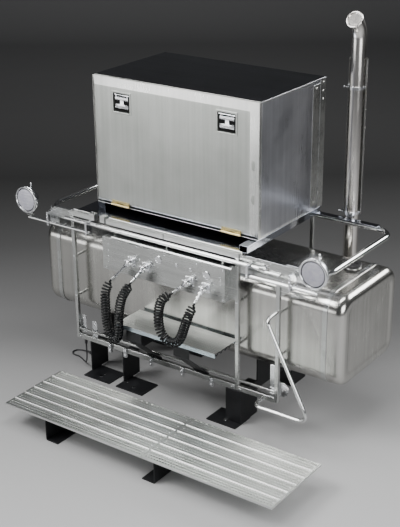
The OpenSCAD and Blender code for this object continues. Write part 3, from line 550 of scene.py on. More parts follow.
STUB_STARTS = [(-0.280, -0.4888, 0.990), (-0.160, -0.4888, 0.978),
               (0.187, -0.4888, 0.965), (0.312, -0.4888, 0.952)]
STUB_ENDS = [(-0.362, -0.562, 0.882), (-0.198, -0.562, 0.902),
             (0.136, -0.562, 0.915), (0.307, -0.562, 0.886)]
STUBS = [(Vector(a), Vector(b), (Vector(b) - Vector(a)).normalized())
         for a, b in zip(STUB_STARTS, STUB_ENDS)]
HOSE_LEFT = [
    (-0.383, -0.590, 0.828), (-0.387, -0.602, 0.790), (-0.387, -0.605, 0.740),
    (-0.386, -0.605, 0.680), (-0.383, -0.605, 0.615), (-0.375, -0.605, 0.555),
    (-0.357, -0.605, 0.503), (-0.324, -0.605, 0.479), (-0.293, -0.605, 0.505),
    (-0.283, -0.605, 0.560), (-0.280, -0.605, 0.620), (-0.272, -0.605, 0.690),
    (-0.260, -0.603, 0.755), (-0.243, -0.598, 0.810),
]
HOSE_RIGHT = [
    (0.096, -0.598, 0.884), (0.076, -0.604, 0.858), (0.062, -0.606, 0.815),
    (0.054, -0.606, 0.765), (0.054, -0.606, 0.710), (0.064, -0.606, 0.656),
    (0.096, -0.606, 0.610), (0.145, -0.606, 0.589), (0.194, -0.606, 0.604),
    (0.228, -0.606, 0.648), (0.250, -0.606, 0.705), (0.270, -0.605, 0.762),
    (0.288, -0.600, 0.815),
]
LEAD = [
    (-0.800, -0.355, 0.206), (-0.800, -0.355, 0.160), (-0.806, -0.348, 0.110),
    (-0.822, -0.334, 0.062), (-0.850, -0.310, 0.028), (-0.890, -0.282, 0.009),
    (-0.935, -0.258, 0.006), (-0.980, -0.243, 0.006), (-1.022, -0.241, 0.006),
    (-1.052, -0.229, 0.006), (-1.064, -0.204, 0.006), (-1.056, -0.176, 0.006),
    (-1.032, -0.160, 0.006), (-1.004, -0.158, 0.009), (-0.975, -0.160, 0.015),
    (-0.962, -0.161, 0.015),
]
COIL_OUTER, COIL_WIRE, COIL_PITCH, LEAD_THICK = 0.066, 0.0125, 0.0200, 0.010


def curve_piece(name, points, thick, material, body, replaces=()):
    data = bpy.data.curves.new(name, "CURVE")
    data.dimensions = "3D"
    data.bevel_depth, data.bevel_resolution, data.use_fill_caps = thick / 2, 3, True
    line = data.splines.new("POLY")
    line.points.add(len(points) - 1)
    for point, at in zip(line.points, points):
        point.co = (*at, 1)
    line.use_smooth = True
    return finish_piece(add(name, data), material, body, replaces)


def length_of(points):
    return sum((Vector(b) - Vector(a)).length for a, b in zip(points, points[1:]))


def coiled_hose(name, first, last, points, lead, node):
    """A coil wound round the route between two stubs, straight for a short lead at each end."""
    route = [first[1], first[1] + first[2] * lead, *points, last[1] + last[2] * lead, last[1]]
    line = spline(route, COIL_PITCH / 14)
    whole = length_of(line)
    wound, along = [], 0.0
    for i, (at, (_, side, up)) in enumerate(zip(line, carried_frames(line))):
        along += (at - line[i - 1]).length if i else 0
        inset = min(along, whole - along)
        grown = min(1, max(0, (inset - 0.012) / 0.030))
        radius = (COIL_OUTER - COIL_WIRE) / 2 * grown * grown * (3 - 2 * grown)
        turn = 2 * pi * along / COIL_PITCH
        wound.append(at + (side * cos(turn) + up * sin(turn)) * radius)
    hose = curve_piece(name, wound, COIL_WIRE, HOSE, body_of(node), node)
    length_of(wound)


coiled_hose("hose_left", STUBS[0], STUBS[1], HOSE_LEFT, 0.014, "hose_coil_left")
coiled_hose("hose_right", STUBS[2], STUBS[3], HOSE_RIGHT, 0.012, "hose_coil_right")

plug_way = (Vector(LEAD[-1]) - Vector(LEAD[-2])).normalized()
lead_plug = Piece("plug_shell").lathe(LEAD[-1], plug_way, [
    (0, 0.0068), (0.004, 0.0078), (0.008, 0.0068), (0.012, 0.0084), (0.016, 0.0074),
    (0.020, 0.0094), (0.026, 0.0110), (0.028, 0.0135), (0.034, 0.0149), (0.052, 0.0149),
    (0.053, 0.0136), (0.056, 0.0136), (0.057, 0.0149), (0.082, 0.0149), (0.085, 0.0140),
    (0.086, 0.0120), (0.070, 0.0112), (0.070, 0)]).done(PLASTIC, "frame", "lead_plug")
lead_line = spline(LEAD, 0.004)
lead = curve_piece("lead", lead_line, LEAD_THICK, CABLE, "frame", "lead_cable")
length_of(lead_line)


# ---- tank

def rounded_outline(y0, y1, z0, z1, radius, steps=10):
    """(y, z) points round a rectangle with rounded corners."""
    out = []
    for cy, cz, turn in ((y1 - radius, z1 - radius, 0), (y0 + radius, z1 - radius, 90),
                         (y0 + radius, z0 + radius, 180), (y1 - radius, z0 + radius, 270)):
        for k in range(steps + 1):
            a = radians(turn + 90 * k / steps)
            out.append((cy + radius * cos(a), cz + radius * sin(a)))
    return out


def spread(low, high, count):
    return [low + (high - low) * k / count for k in range(count + 1)]


def tank_skin():
    shell, end = Box("tank_shell"), Box("tank_end_right")
    corner, roll, seam, groove = 0.120, 0.055, 0.004, 0.0016

    def ring(x, inset):
        return [Vector((x, y, z)) for y, z in rounded_outline(
            shell.y0 + inset, shell.y1 - inset, shell.z0 + inset, shell.z1 - inset,
            max(corner - inset, 0.02))]

    half = [(0.0, 0.0), (0.20, 0.0), (0.45, 0.0), (0.70, 0.0), (0.95, 0.0),
            (shell.x1 - seam, 0.0), (shell.x1 - seam / 2, groove), (shell.x1 + seam / 2, groove),
            (shell.x1 + seam, 0.0), (shell.x1 + 0.03, 0.0)]
    for k in range(11):
        a = radians(9 * k)
        half.append((end.x1 - roll + roll * sin(a), roll * (1 - cos(a))))
    half += [(end.x1, 0.070), (end.x1 - 0.001, 0.078), (end.x1 - 0.006, 0.092),
             (end.x1 - 0.007, 0.104), (end.x1 - 0.0065, 0.18), (end.x1 - 0.006, 0.25)]
    whole = [(-x, inset) for x, inset in reversed(half[1:])] + half
    piece = Piece("tank_skin")
    piece._loft([ring(x, inset) for x, inset in whole])
    return piece.done(TANK, "frame", ("tank_shell", "tank_end_left", "tank_end_right"), smooth=60)


tank_skin()

cap = Box("filler_cap")
filler = Piece("filler_cap_knurled")
middle = Vector((cap.centre.x, cap.centre.y, cap.z0))
sides, cap_r, knurl = 72, cap.size.x / 2, 0.0018
up_the_cap = [(0, cap_r - 0.004, 0), (0.002, cap_r - 0.001, 1), (0.018, cap_r, 1),
              (0.021, cap_r - 0.003, 0), (0.024, cap_r - 0.012, 0), (0.025, cap_r - 0.020, 0)]
filler._loft([
    [middle + Z * h + (X * cos(2 * pi * k / sides) + Y * sin(2 * pi * k / sides))
     * (r - (knurl if ribbed and k % 4 < 2 else 0)) for k in range(sides)]
    for h, r, ribbed in up_the_cap])
filler.box(middle + Vector((-0.036, -0.007, 0.024)), middle + Vector((0.036, 0.007, 0.032)), 0.002)
filler.done(PLASTIC, body_of("filler_cap"), "filler_cap", smooth=30)

# ---- supports, posts, rails

for node, material, edge in (
    ("tank_bands", POST, 0.0012), ("tank_baffles", STEEL, 0), ("saddle_pads", RUBBER, 0.0015),
    ("level_sender", PLASTIC, 0.001), ("drain_plug", BRASS, 0.001), ("filler_neck", STEEL, 0.001),
    ("supports", DARK, 0.0015), ("front_posts", POST, 0.0022), ("bottom_rails", STEEL, 0.0018),
    ("post_standoffs", STEEL, 0.001), ("end_plate_left", STEEL, 0.001),
    ("end_plate_right", STEEL, 0.001), ("post_bracket", CAST, 0.001),
    ("front_tubes", ROD, 0.0012), ("rod_clamps", CAST, 0.0018), ("lamp_rods", ROD, 0.0015),
    ("deck_plate", MIRROR_PAINTED_DARK, 0.001), ("deck_bearers", MIRROR_PAINTED_DARK, 0.0012), ("hoop_left", ROD, 0.001),
    ("hoop_right", ROD, 0.001), ("hoop_rear", ROD, 0.001), ("rear_posts", POST, 0.002),
    ("coupling_panel", STEEL, 0.0012), ("tray_bracket", DARK, 0.0015),
    ("door_seal", RUBBER, 0.0012), ("latch_strikers", STEEL, 0.001),
    ("stack_clamps", CAST, 0.0012), ("walkway_brackets", DARK, 0.0015),
    ("lead_gland", PLASTIC, 0.001), ("rail_lugs", CAST, 0.0016), ("hinge_pins", BRASS, 0.0006),
    ("hinge_leaves", BRASS, 0.0006),
    ("lamp_foot_left", STEEL, 0.001), ("lamp_foot_right", STEEL, 0.001),
):
    refined(node, material, edge)

post_front, frame_y = -0.3675, -0.355
RAIL_Z = 0.262  # middle of the bottom rail
STEP_TUBE, STEP_KNEE, STEP_IN, STEP_POST = 0.012, 0.060, 0.013, 0.098
step = Box("stirrup_step")
step_front, step_back = step.y0 + STEP_IN, step.y1 - 0.001
stirrup = Piece("stirrup_tube")
stirrup.sweep(rounded_path([
    (step.x0 + STEP_POST, step_back, step.z1 - STEP_IN),
    (step.x0 + STEP_POST, step_front, step.z1 - STEP_IN),
    (step.x1 - STEP_IN, step_front, step.z0 + STEP_IN),
    (step.x0 + STEP_IN, step_front, RAIL_Z), (step.x0 + STEP_IN, step_back, RAIL_Z),
], STEP_KNEE), STEP_TUBE, 24)
stirrup.done(ROD, "frame", "stirrup_step", slot="polished_tube", smooth=40)

fixings = Piece("frame_bolts")
for x in (-0.560, -0.425, -0.199, 0.063, 0.300):
    fixings.bolt((x, post_front - 0.016, RAIL_Z), -Y, 0.007)
    fixings.rivet((x, post_front - 0.016, 0.234), -Y, 0.006)
for x in (-0.690, 0.600):
    for z in (1.110, 1.126):
        fixings.bolt((x, -0.425, z - 0.028), -Y, 0.0045)
for x in (-1.035, 0.905):
    fixings.bolt((x, -0.425, 1.091), -Y, 0.0045)
    for z in (1.128, 1.150):
        fixings.bolt((x, -0.425, z), -Y, 0.0055)
for x in (-0.690, -0.600):
    for side in (-0.004, 0.018):
        fixings.bolt((x + side, -0.347, 1.213), Z, 0.0045)
for x in (-0.860, 0.490, 0.790):
    for z in (0.571, 0.866):
        fixings.rivet((x, post_front, z), -Y, 0.0075)
for x in (-0.835, 0.460, 0.520):
    fixings.bolt((x, post_front, RAIL_Z), -Y, 0.005)
for x in (-0.645, -0.355, 0.415):
    for y in (-0.385, 0.385):
        fixings.lathe((x, y, 0.008), Z, [(0, 0.013), (0.0015, 0.013), (0.0022, 0.0125)], 28)
fixings.done(CAST, "frame", slot="stainless")

feet = Piece("post_foot_brackets")
for x0, x1, z0, z1 in ((-0.846, -0.800, 0.290, 0.420), (-0.745, -0.700, 0.270, 0.395)):
    feet.prism([Vector((x, 0, z)) for x, z in (
        (x0, z0), (x1, z0), (x1, z1 - 0.020), (x1 - 0.006, z1 - 0.006), (x1 - 0.020, z1),
        (x0 + 0.006, z1), (x0, z1 - 0.006))], Y * -0.3425, Y * -0.3385)
    feet.rivet(((x0 + x1) / 2, -0.3425, z1 - 0.025), -Y, 0.007)
feet.done(CAST, "frame", slot="white_metal")

end_details = Piece("end_plate_details")
for x in (0.700, 0.706):
    end_details.box((x, -0.3595, 1.075), (x + 0.0018, -0.3575, 1.190), 0.0003)
for x, z in ((0.525, 1.180), (0.525, 1.088), (0.670, 1.180), (0.730, 1.180), (0.925, 1.180),
             (0.925, 1.086), (0.820, 1.086), (-1.055, 1.182), (-1.055, 1.133), (-0.960, 1.182),
             (-0.890, 1.182), (-0.890, 1.133), (-1.008, 1.075)):
    end_details.rivet((x, -0.358, z), -Y, 0.0055)
end_details.done(CAST, "frame", slot="stainless")

gusset = Piece("corner_gusset")
outline = [Vector((0.803, 0, 1.070)), Vector((0.930, 0, 1.070)), Vector((0.803, 0, 0.985))]
gusset.prism(outline, Y * (frame_y + 0.001), Y * (frame_y + 0.005))
gusset.done(STEEL, "frame", slot="stainless")


def ribbed_channel():
    """Top-open channel, with ribs along its floor, in three lengths."""
    y0, y1, low, high = -0.367, -0.327, 1.166, 1.201
    outline = [(y0, low), (y1, low), (y1, high), (y1 - 0.0065, high), (y1 - 0.008, high - 0.002),
               (y1 - 0.008, low + 0.012)]
    floor = low + 0.012
    for k in range(3):
        y = y1 - 0.0115 - 0.0065 * k
        outline += [(y, floor), (y - 0.0006, floor + 0.009), (y - 0.0028, floor + 0.009),
                    (y - 0.0034, floor)]
    outline += [(y0 + 0.008, low + 0.012), (y0 + 0.008, high - 0.002), (y0 + 0.0065, high),
                (y0, high)]
    piece = Piece("channel_ribbed")
    for x0, x1 in ((-0.8725, -0.703), (-0.560, -0.083), (-0.077, 0.5025)):
        piece.prism([Vector((0, y, z)) for y, z in outline], X * x0, X * x1, 0.0004)
        piece.box((x0 + 0.003, y0 - 0.0012, low + 0.015), (x1 - 0.003, y0, low + 0.019), 0.0003)
    for x in (-0.690, -0.600):
        piece.box((x - 0.013, y0, low), (x + 0.027, y1, 1.213), 0.002)
        piece.box((x + 0.005, y0 - 0.0015, low + 0.004), (x + 0.009, y0, 1.208), 0.0004)
    return piece.done(CHANNEL, "frame", "front_channel")


ribbed_channel()

# ---- locker

shell = Box("locker_body")


def locker_shell():
    """Brushed sides in a lighter, bluish tone that is a painted reflection, a mirror top darkened as
    a painted reflection of the dark backdrop, and the door's metal inside and at the back.
    """
    piece = refined("locker_body", SIDE_PAINTED_REFLECTION, 0.0014)
    piece.data.materials.append(MIRROR_PAINTED_DARK)
    piece.data.materials.append(DOOR)
    for face in piece.data.polygons:
        if face.normal.z > 0.9 and face.center.z > shell.z1 - 0.01:
            face.material_index = 1
        elif abs(face.normal.y) > 0.9:
            face.material_index = 2


locker_shell()
trim = Piece("locker_trim")
for x, way in ((shell.x1, 1), (shell.x0, -1)):
    def strip(y0, y1, z0, z1, thick=0.0014, bevel=0.0005):
        a, b = sorted((x, x + way * thick))
        trim.box((a, y0, z0), (b, y1, z1), bevel)
    strip(-0.204, -0.182, shell.z0 + 0.004, shell.z1 - 0.004)
    strip(-0.178, -0.1755, shell.z0 + 0.006, shell.z1 - 0.006, 0.0022)
    strip(0.420, 0.505, shell.z0 + 0.030, shell.z1 - 0.030, 0.0018, 0.0008)
    strip(0.5095, 0.5115, shell.z0 + 0.004, shell.z1 - 0.004, 0.0024)
    strip(0.514, 0.577, shell.z0 + 0.004, shell.z1 - 0.004, 0.0012)
    strip(-0.170, 0.415, shell.z1 - 0.011, shell.z1 - 0.004, 0.0012)
    strip(-0.170, 0.415, shell.z0 + 0.004, shell.z0 + 0.012, 0.0012)
    out = X * way
    for z in (shell.z0 + 0.055, shell.z1 - 0.055):
        trim.rivet((x + way * 0.0018, 0.4625, z), out, 0.008)
    for z in (shell.z1 - 0.030, shell.z1 - 0.085, shell.z1 - 0.140):
        trim.rivet((x + way * 0.0012, 0.5455, z), out, 0.006)
for k in range(6):
    for z in (shell.z0 + 0.035, shell.z1 - 0.035):
        trim.rivet((shell.x0 + 0.12 + 0.212 * k, shell.y1, z), Y, 0.006)
for z0, z1 in ((shell.z0 + 0.16, shell.z0 + 0.17), (shell.z1 - 0.17, shell.z1 - 0.16)):
    trim.box((shell.x0 + 0.05, shell.y1, z0), (shell.x1 - 0.05, shell.y1 + 0.003, z1), 0.0012)
# trim in the lighter sheet, whose lightness is painted highlight
trim.done(SHEET_PAINTED_BRIGHT, "frame", slot="stainless")

door_x0, door_x1, door_z0, door_z1 = -0.757, 0.537, 1.258, 2.117
door_body = body_of("locker_door")
cup_mid = [(-0.523, 1.960), (0.303, 1.960)]
CUP_W, CUP_H, CUP_LIP = 0.160, 0.150, 0.006


def door_skin():
    """Folded pan: a flat panel with wide sloped margins at the top and right."""
    front, edge, back = shell.y0, shell.y0 + 0.0065, -0.1865
    inner = [door_x0 + 0.012, door_x1 - 0.063, door_z0 + 0.012, door_z1 - 0.060]
    w, h = CUP_W / 2 - CUP_LIP, CUP_H / 2 - CUP_LIP
    (left, level), (right, _) = cup_mid
    xs = [inner[0], inner[1], left - w, left + w, right - w, right + w]
    xs = sorted(xs + spread(left + CUP_W / 2, right - CUP_W / 2, 6)[1:-1])
    zs = sorted([inner[2], level - h, level + h, inner[3]]
                + spread(inner[2], level - CUP_H / 2, 5)[1:-1])
    skip = {(i, j) for i in range(len(xs) - 1) for j in range(len(zs) - 1)
            if any(abs((xs[i] + xs[i + 1]) / 2 - cx) < CUP_W / 2
                   and abs((zs[j] + zs[j + 1]) / 2 - cz) < CUP_H / 2 for cx, cz in cup_mid)}
    panel = Piece("door_panel")
    panel.plate(xs, zs, lambda x, z: Vector((x, front + 0.0003, z)), skip)
    for cx, cz in cup_mid:
        loop = [(cx - w, cz - h), (cx + w, cz - h), (cx + w, cz + h), (cx - w, cz + h)]
        panel._loft([[Vector((x, y, z)) for x, z in loop] for y in (front + 0.0003, front + 0.009)],
                    caps=False)
    panel.done(DOOR, door_body, "locker_door", solid=0.0006)
    rim = Piece("door_margins")
    corners_in = [(inner[0], inner[2]), (inner[1], inner[2]), (inner[1], inner[3]),
                  (inner[0], inner[3])]
    corners_out = [(door_x0, door_z0), (door_x1, door_z0), (door_x1, door_z1), (door_x0, door_z1)]

    def loop(corners, y, grow=0.0):
        return [Vector((x + grow * (1 if x > 0 else -1), y, z + grow * (1 if z > 1.7 else -1)))
                for x, z in corners]

    rim._loft([
        loop(corners_in, front + 0.0016), loop(corners_in, front + 0.0003),
        loop(corners_out, edge - 0.0012, -0.0012), loop(corners_out, edge, 0),
        loop(corners_out, back), loop(corners_out, back, -0.012),
        loop(corners_out, back - 0.0014, -0.012),
    ], caps=False)
    # the margins in the lighter sheet: painted highlight on the tilted bands
    rim.done(SHEET_PAINTED_BRIGHT, door_body, slot="satin_sheet", solid=0.001, smooth=20)
    back_face = Piece("door_stiffeners")
    for z in (1.50, 1.72):
        back_face.prism([Vector((0, y, z + dz)) for y, dz in (
            (front + 0.0012, -0.030), (front + 0.013, -0.018), (front + 0.013, 0.018),
            (front + 0.0012, 0.030), (front + 0.0006, 0))], X * (door_x0 + 0.03),
            X * (door_x1 - 0.03), 0.0008)
    back_face.done(DOOR, door_body, slot="satin_sheet")


door_skin()


def hinge(mid):
    y, z, knuckle = -0.212, 1.249, 0.007
    leaf = Piece("hinge_door_" + ("left" if mid < 0 else "right"))
    for k in (-1, 1):
        at = mid + k * 0.050
        leaf.lathe((at - 0.0245, y, z), X, [(0, 0.0035), (0, knuckle - 0.0008), (0.0008, knuckle),
            (0.0482, knuckle), (0.049, knuckle - 0.0008), (0.049, 0.0035)], 28)
        leaf.box((at - 0.0245, y, z + 0.004), (at + 0.0245, y + 0.0035, door_z0 + 0.004), 0.0006)
        leaf.lathe((at, -0.208, door_z0 + 0.011), -Y, [(0, 0.0062), (0.001, 0.0060),
            (0.0022, 0.004), (0.0026, 0)], 20)
    leaf.box((mid - 0.0745, -0.208, door_z0 + 0.002), (mid + 0.0745, -0.2052, door_z0 + 0.021),
             0.0006)
    leaf.done(BRASS, door_body, slot="brass")
    ball = Piece("hinge_pin_ends_" + ("left" if mid < 0 else "right"))
    for k in (-1, 1):
        ball.lathe((mid + k * 0.075, y, z), X * k, [(0, 0.0055), (0.002, 0.0062), (0.004, 0.0045),
            (0.005, 0)], 20)
    ball.done(BRASS, "frame", slot="brass")


hinge(-0.558)
hinge(0.338)

# ---- latches

for (cx, cz), side in zip(cup_mid, ("left", "right")):
    y0 = shell.y0
    cup = Piece("latch_frame_" + side)

    def ring(w, h, y):
        return [Vector((cx + x, y, cz + z)) for x, z in rounded_outline(-w, w, -h, h, 0.008, 4)]

    w, h = CUP_W / 2, CUP_H / 2
    cup._loft([
        ring(w, h, y0 - 0.0002), ring(w, h, y0 - 0.0018), ring(w - 0.0015, h - 0.0015, y0 - 0.003),
        ring(w - 0.0115, h - 0.0115, y0 - 0.003), ring(w - 0.013, h - 0.013, y0 - 0.0018),
        ring(w - 0.014, h - 0.014, y0 + 0.0125), ring(w - 0.013, h - 0.013, y0 + 0.0138),
        ring(w - 0.010, h - 0.010, y0 + 0.0138), ring(w - 0.010, h - 0.010, y0),
    ], caps=False)
    cup.done(DOOR, door_body, "latch_cups" if side == "left" else (), slot="stainless", smooth=40)
    floor = Piece("latch_well_" + side)
    floor.box((cx - w + 0.013, y0 + 0.0115, cz - h + 0.013),
        (cx + w - 0.013, y0 + 0.0135, cz + h - 0.013), 0.0004)
    floor.box((cx - w + 0.016, y0 + 0.003, cz + h - 0.019),
        (cx + w - 0.016, y0 + 0.0118, cz + h - 0.014), 0.001)
    floor.lathe((cx, y0 + 0.0112, cz - 0.042), -Y, [(0, 0.011), (0.001, 0.011), (0.0012, 0.008),
        (0.0006, 0.0075), (0.0006, 0)], 28)
    floor.done(WELL, door_body, slot="black_plastic")
    handle = Piece("latch_handle_" + side)
    p0, p1, low, high = cx - 0.054, cx + 0.054, cz - 0.036, cz + 0.036
    xs = [p0, cx - 0.050, cx - 0.014, cx + 0.014, cx + 0.050, p1]
    zs = [low, low + 0.010, low + 0.024, low + 0.052, high]
    holes = {(0, 2), (1, 2), (3, 2), (4, 2)}

    def at(x, z):
        return Vector((x, y0 + 0.0010 + 0.0050 * min(1, (z - low) / 0.024), z))

    handle.plate(xs, zs, at, holes)
    handle.done(CAST, body_of("latch_paddle_" + side), "latch_paddle_" + side,
                slot="stainless", solid=0.0026, bevel=0.0006)
    bar = Piece("latch_bar_" + side)
    bar.tube((cx - 0.062, y0 + 0.005, cz + 0.050), (cx + 0.062, y0 + 0.005, cz + 0.050), 0.0036,
             bevel=0.0006)
    bar.box((p0, y0 + 0.0002, cz + 0.018), (p1, y0 + 0.0072, cz + 0.034), 0.0022)
    for x in (cx - 0.046, cx + 0.046):
        bar.box((x - 0.004, y0 + 0.003, cz + 0.030), (x + 0.004, y0 + 0.007, cz + 0.052), 0.001)
    bar.done(CAST, body_of("latch_paddle_" + side), slot="stainless")

# ---- coupling panel, hoses

panel = Piece("panel_fixings")
front = -0.445
for x, heights in ((-0.480, (0.942, 0.982, 1.024, 1.065)), (0.420, (1.002, 1.026, 1.050))):
    for z in heights:
        panel.rivet((x, front, z), -Y, 0.006)
for x in (-0.505, -0.240, -0.010, 0.240, 0.438):
    for z in (0.900, 1.097):
        panel.rivet((x, front, z), -Y, 0.0045)
SOCKETS, SOCKET_R = ((-0.063, 1.053), (0.314, 1.037)), 0.017
for x, z in SOCKETS:
    panel.lathe((x, front, z), -Y, [(along, SOCKET_R + r) for along, r in (
        (0, 0.001), (0, 0.010), (0.003, 0.010), (0.0045, 0.008), (0.0045, 0.002),
        (0.003, 0.001))], 40)
for x, z in ((0.081, 1.050), (0.191, 1.046)):
    panel.lathe((x, front, z), -Y, [(0, 0.0075), (0, 0.012), (0.002, 0.012), (0.003, 0.010),
        (0.003, 0.0078)], 32)
panel.done(CAST, "frame", slot="stainless")

sockets = Piece("socket_covers")
for x, z in SOCKETS:
    sockets.lathe((x, front + 0.010, z), -Y, [
        (0, 0.0155), (0.008, 0.0155), (0.009, 0.0135), (0.009, 0.006), (0.0105, 0.005),
        (0.0105, 0)], 32)
sockets.done(PLASTIC, "frame", slot="black_plastic")

coupling_set = Piece("coupling_heads")
for start, end, way in STUBS:
    x, y, z = start.x, -0.451, start.z
    coupling_set.box((x - 0.032, y, z - 0.032), (x + 0.032, y + 0.006, z + 0.032), 0.0022)
    for dx in (-0.024, 0.024):
        for dz in (-0.024, 0.024):
            coupling_set.hexagon((x + dx, y, z + dz), -Y, 0.0085, 0.0042)
    coupling_set.lathe((x, y + 0.0005, z), -Y, [
        (0, 0.0215), (0.006, 0.0215), (0.0075, 0.0185), (0.012, 0.0185), (0.0135, 0.0220),
        (0.022, 0.0220), (0.0235, 0.0200), (0.027, 0.0200), (0.0285, 0.0220), (0.044, 0.0220),
        (0.049, 0.0185), (0.0515, 0.0120), (0.0525, 0.0118), (0.0535, 0.0085), (0.054, 0)], 44)
    coupling_set.box((x - 0.030, y - 0.040, z + 0.010), (x - 0.016, y - 0.030, z + 0.020), 0.002)
    coupling_set.box((x + 0.014, y - 0.040, z - 0.006), (x + 0.031, y - 0.029, z + 0.006), 0.002)
    coupling_set.box((x - 0.009, y - 0.046, z + 0.018), (x + 0.009, y - 0.024, z + 0.028), 0.0025)
    coupling_set.tube(start + way * 0.004, end - way * 0.002, 0.0078, sides=28)
    length = (end - start).length
    coupling_set.hexagon(start + way * 0.020, way, 0.024, 0.012)
    coupling_set.hexagon(start + way * (length - 0.046), way, 0.0215, 0.010)
    coupling_set.lathe((x, -0.445, z), Y, [(0, 0.0118), (0.030, 0.0118), (0.0305, 0.0110)], 24)
coupling_set.done(CAST, "frame", "couplings", slot="white_metal")

crimp = Piece("crimped_ferrules")
for start, end, way in STUBS:
    crimp.lathe(end - way * 0.026, way, [
        (0, 0.0082), (0, 0.0105), (0.001, 0.0118), (0.006, 0.0120), (0.007, 0.0108),
        (0.009, 0.0108), (0.010, 0.0120), (0.015, 0.0120), (0.016, 0.0108), (0.018, 0.0108),
        (0.019, 0.0120), (0.025, 0.0118), (0.026, 0.0105), (0.026, 0.0056)], 32)
crimp.done(STEEL, "frame", "hose_ferrules", slot="stainless")

# ---- step tray

tray = Box("step_tray")
grid = Piece("tray_sheet")
sheet = 0.003
columns = [tray.x0] + spread(tray.x0 + 0.0075, tray.x1 - 0.0075, 39) + [tray.x1]
rows = [tray.y0] + spread(tray.y0 + 0.005, tray.y1 - 0.005, 12) + [tray.y1]
grid.perforated(
    columns, rows, lambda u, v: Vector((u, v, tray.z1 - sheet / 2)),
    lambda i, j: 0.0036 if 0 < i < len(columns) - 2 and 0 < j < len(rows) - 2 else 0)
grid.done(TREAD, "frame", "step_tray", slot="tread_sheet", solid=sheet * 0.9)
folds = Piece("tray_folds")
for y in (tray.y0, tray.y1 - sheet):
    folds.box((tray.x0, y, tray.z0), (tray.x1, y + sheet, tray.z1 - 0.0002), 0.0008)
folds.box((tray.x0, tray.y0 + sheet, tray.z0), (tray.x1, tray.y0 + 0.016, tray.z0 + sheet), 0.0006)
folds.done(BLUE, "frame", slot="stainless")
brace = Piece("tray_end_brace")
zigzag = [(tray.y0 + 0.006 + (tray.size.y - 0.012) * k / 10, tray.z0 + (0.003 if k % 2 else 0.024))
          for k in range(11)]
for (ya, za), (yb, zb) in zip(zigzag, zigzag[1:]):
    brace.tube((tray.x1 - 0.006, ya, za), (tray.x1 - 0.006, yb, zb), 0.0028, sides=12)
brace.done(DARK, "frame", slot="dark_paint")

# ---- lamps

for side in ("left", "right"):
    lens_box = Box("lamp_lens_" + side)
    cx, cz = lens_box.centre.x, lens_box.centre.z
    y = -0.427
    body = body_of("lamp_" + side)
    bowl = Piece("lamp_bowl_" + side)
    arc = [radians(90 * k / 12) for k in range(13)]
    profile = [(-0.060, 0.0), (-0.060, 0.020)]
    profile += [(-0.060 + 0.058 * (1 - cos(a)), 0.034 + 0.055 * sin(a)) for a in arc]
    profile += [(0.0, 0.0893), (0.0, 0.0945), (0.0015, 0.095), (0.006, 0.095), (0.0075, 0.0935),
        (0.009, 0.095), (0.0155, 0.095), (0.0185, 0.0935), (0.020, 0.0905), (0.0195, 0.0840),
        (0.016, 0.0815), (0.009, 0.0810), (0.002, 0.080), (-0.014, 0.073), (-0.030, 0.060),
        (-0.044, 0.040), (-0.051, 0.018), (-0.052, 0.0)]
    bowl.lathe((cx, y, cz), -Y, profile, 72)
    bowl.done(CAST, body, "lamp_" + side, slot="polished_tube", smooth=32)
    fit = Piece("lamp_fittings_" + side)
    fit.box((cx - 0.017, -0.414, 1.119), (cx + 0.017, -0.396, cz - 0.074), 0.003)
    fit.lathe((cx, -0.368, cz), Y, [(0, 0.013), (0.009, 0.013), (0.011, 0.0115), (0.011, 0.005)], 32)
    fit.tube((cx + 0.018, -0.401, cz + 0.076), (cx + 0.018, -0.401, cz + 0.119), 0.006, sides=24,
             bevel=0.0015)
    fit.hexagon((cx + 0.018, -0.401, cz + 0.088), Z, 0.017, 0.007)
    for k in (-1, 1):
        fit.hexagon((cx + k * 0.017, -0.405, 1.126), X * k, 0.015, 0.006)
        fit.hexagon((cx + k * 0.090, y - 0.010, cz - 0.002), X * k, 0.009, 0.004)
    fit.lathe((cx, -0.405, 1.134), Z, [(0, 0.0165), (0.004, 0.0175), (0.008, 0.0145)], 28)
    fit.done(CAST, body, slot="stainless")
    bulb = Piece("lamp_bulb_" + side)
    bulb.lathe((cx, y + 0.051, cz), -Y, [(0, 0.012), (0.006, 0.012), (0.007, 0.009),
        (0.018, 0.010), (0.028, 0.0115), (0.036, 0.009), (0.040, 0.004), (0.041, 0)], 28)
    bulb.lathe((cx, y + 0.014, cz), -Y, [(0, 0.0), (0, 0.021), (0.0012, 0.021), (0.004, 0.014),
        (0.0048, 0.0)], 32)
    bulb.done(CAST, body, slot="stainless")
    glass = Piece("lamp_glass_" + side)
    glass.lathe((cx, y - 0.0085, cz), -Y, [(0, 0.0), (0.0, 0.0772), (0.0045, 0.0776)]
                + [(0.0045 + 0.0090 * cos(radians(a)), 0.0776 * sin(radians(a)))
                   for a in (75, 60, 45, 30, 15, 4)] + [(0.0135, 0)], 72)
    seal = Piece("lamp_seal_" + side)
    seal.lathe((cx, y - 0.009, cz), -Y, [(0, 0.0774), (0, 0.0812), (0.0055, 0.0812),
        (0.0062, 0.0800), (0.0055, 0.0778)], 64)
    seal.done(RUBBER, body, slot="black_rubber")
    glass.done(LENS, body, "lamp_lens_" + side, slot="lens_glass", smooth=40)
    wire = Piece("lamp_tail_" + side)
    wire.sweep(spline([(cx, -0.358, cz - 0.002), (cx - 0.004, -0.3585, cz - 0.020),
        (cx + 0.002, -0.364, cz - 0.044), (cx - 0.002, -0.384, cz - 0.070),
        (cx, -0.3935, cz - 0.088), (cx + 0.006, -0.3935, 1.128)], 0.004), 0.0022, sides=12)
    wire.sweep(spline([(cx + 0.005, -0.3585, cz - 0.004), (cx + 0.008, -0.3585, cz - 0.022),
        (cx + 0.010, -0.366, cz - 0.047), (cx + 0.007, -0.385, cz - 0.072),
        (cx + 0.005, -0.3935, cz - 0.090), (cx + 0.001, -0.3935, 1.130)], 0.004), 0.0022, sides=12)
    wire.done(WIRE, body, slot="black_plastic")

# ---- exhaust

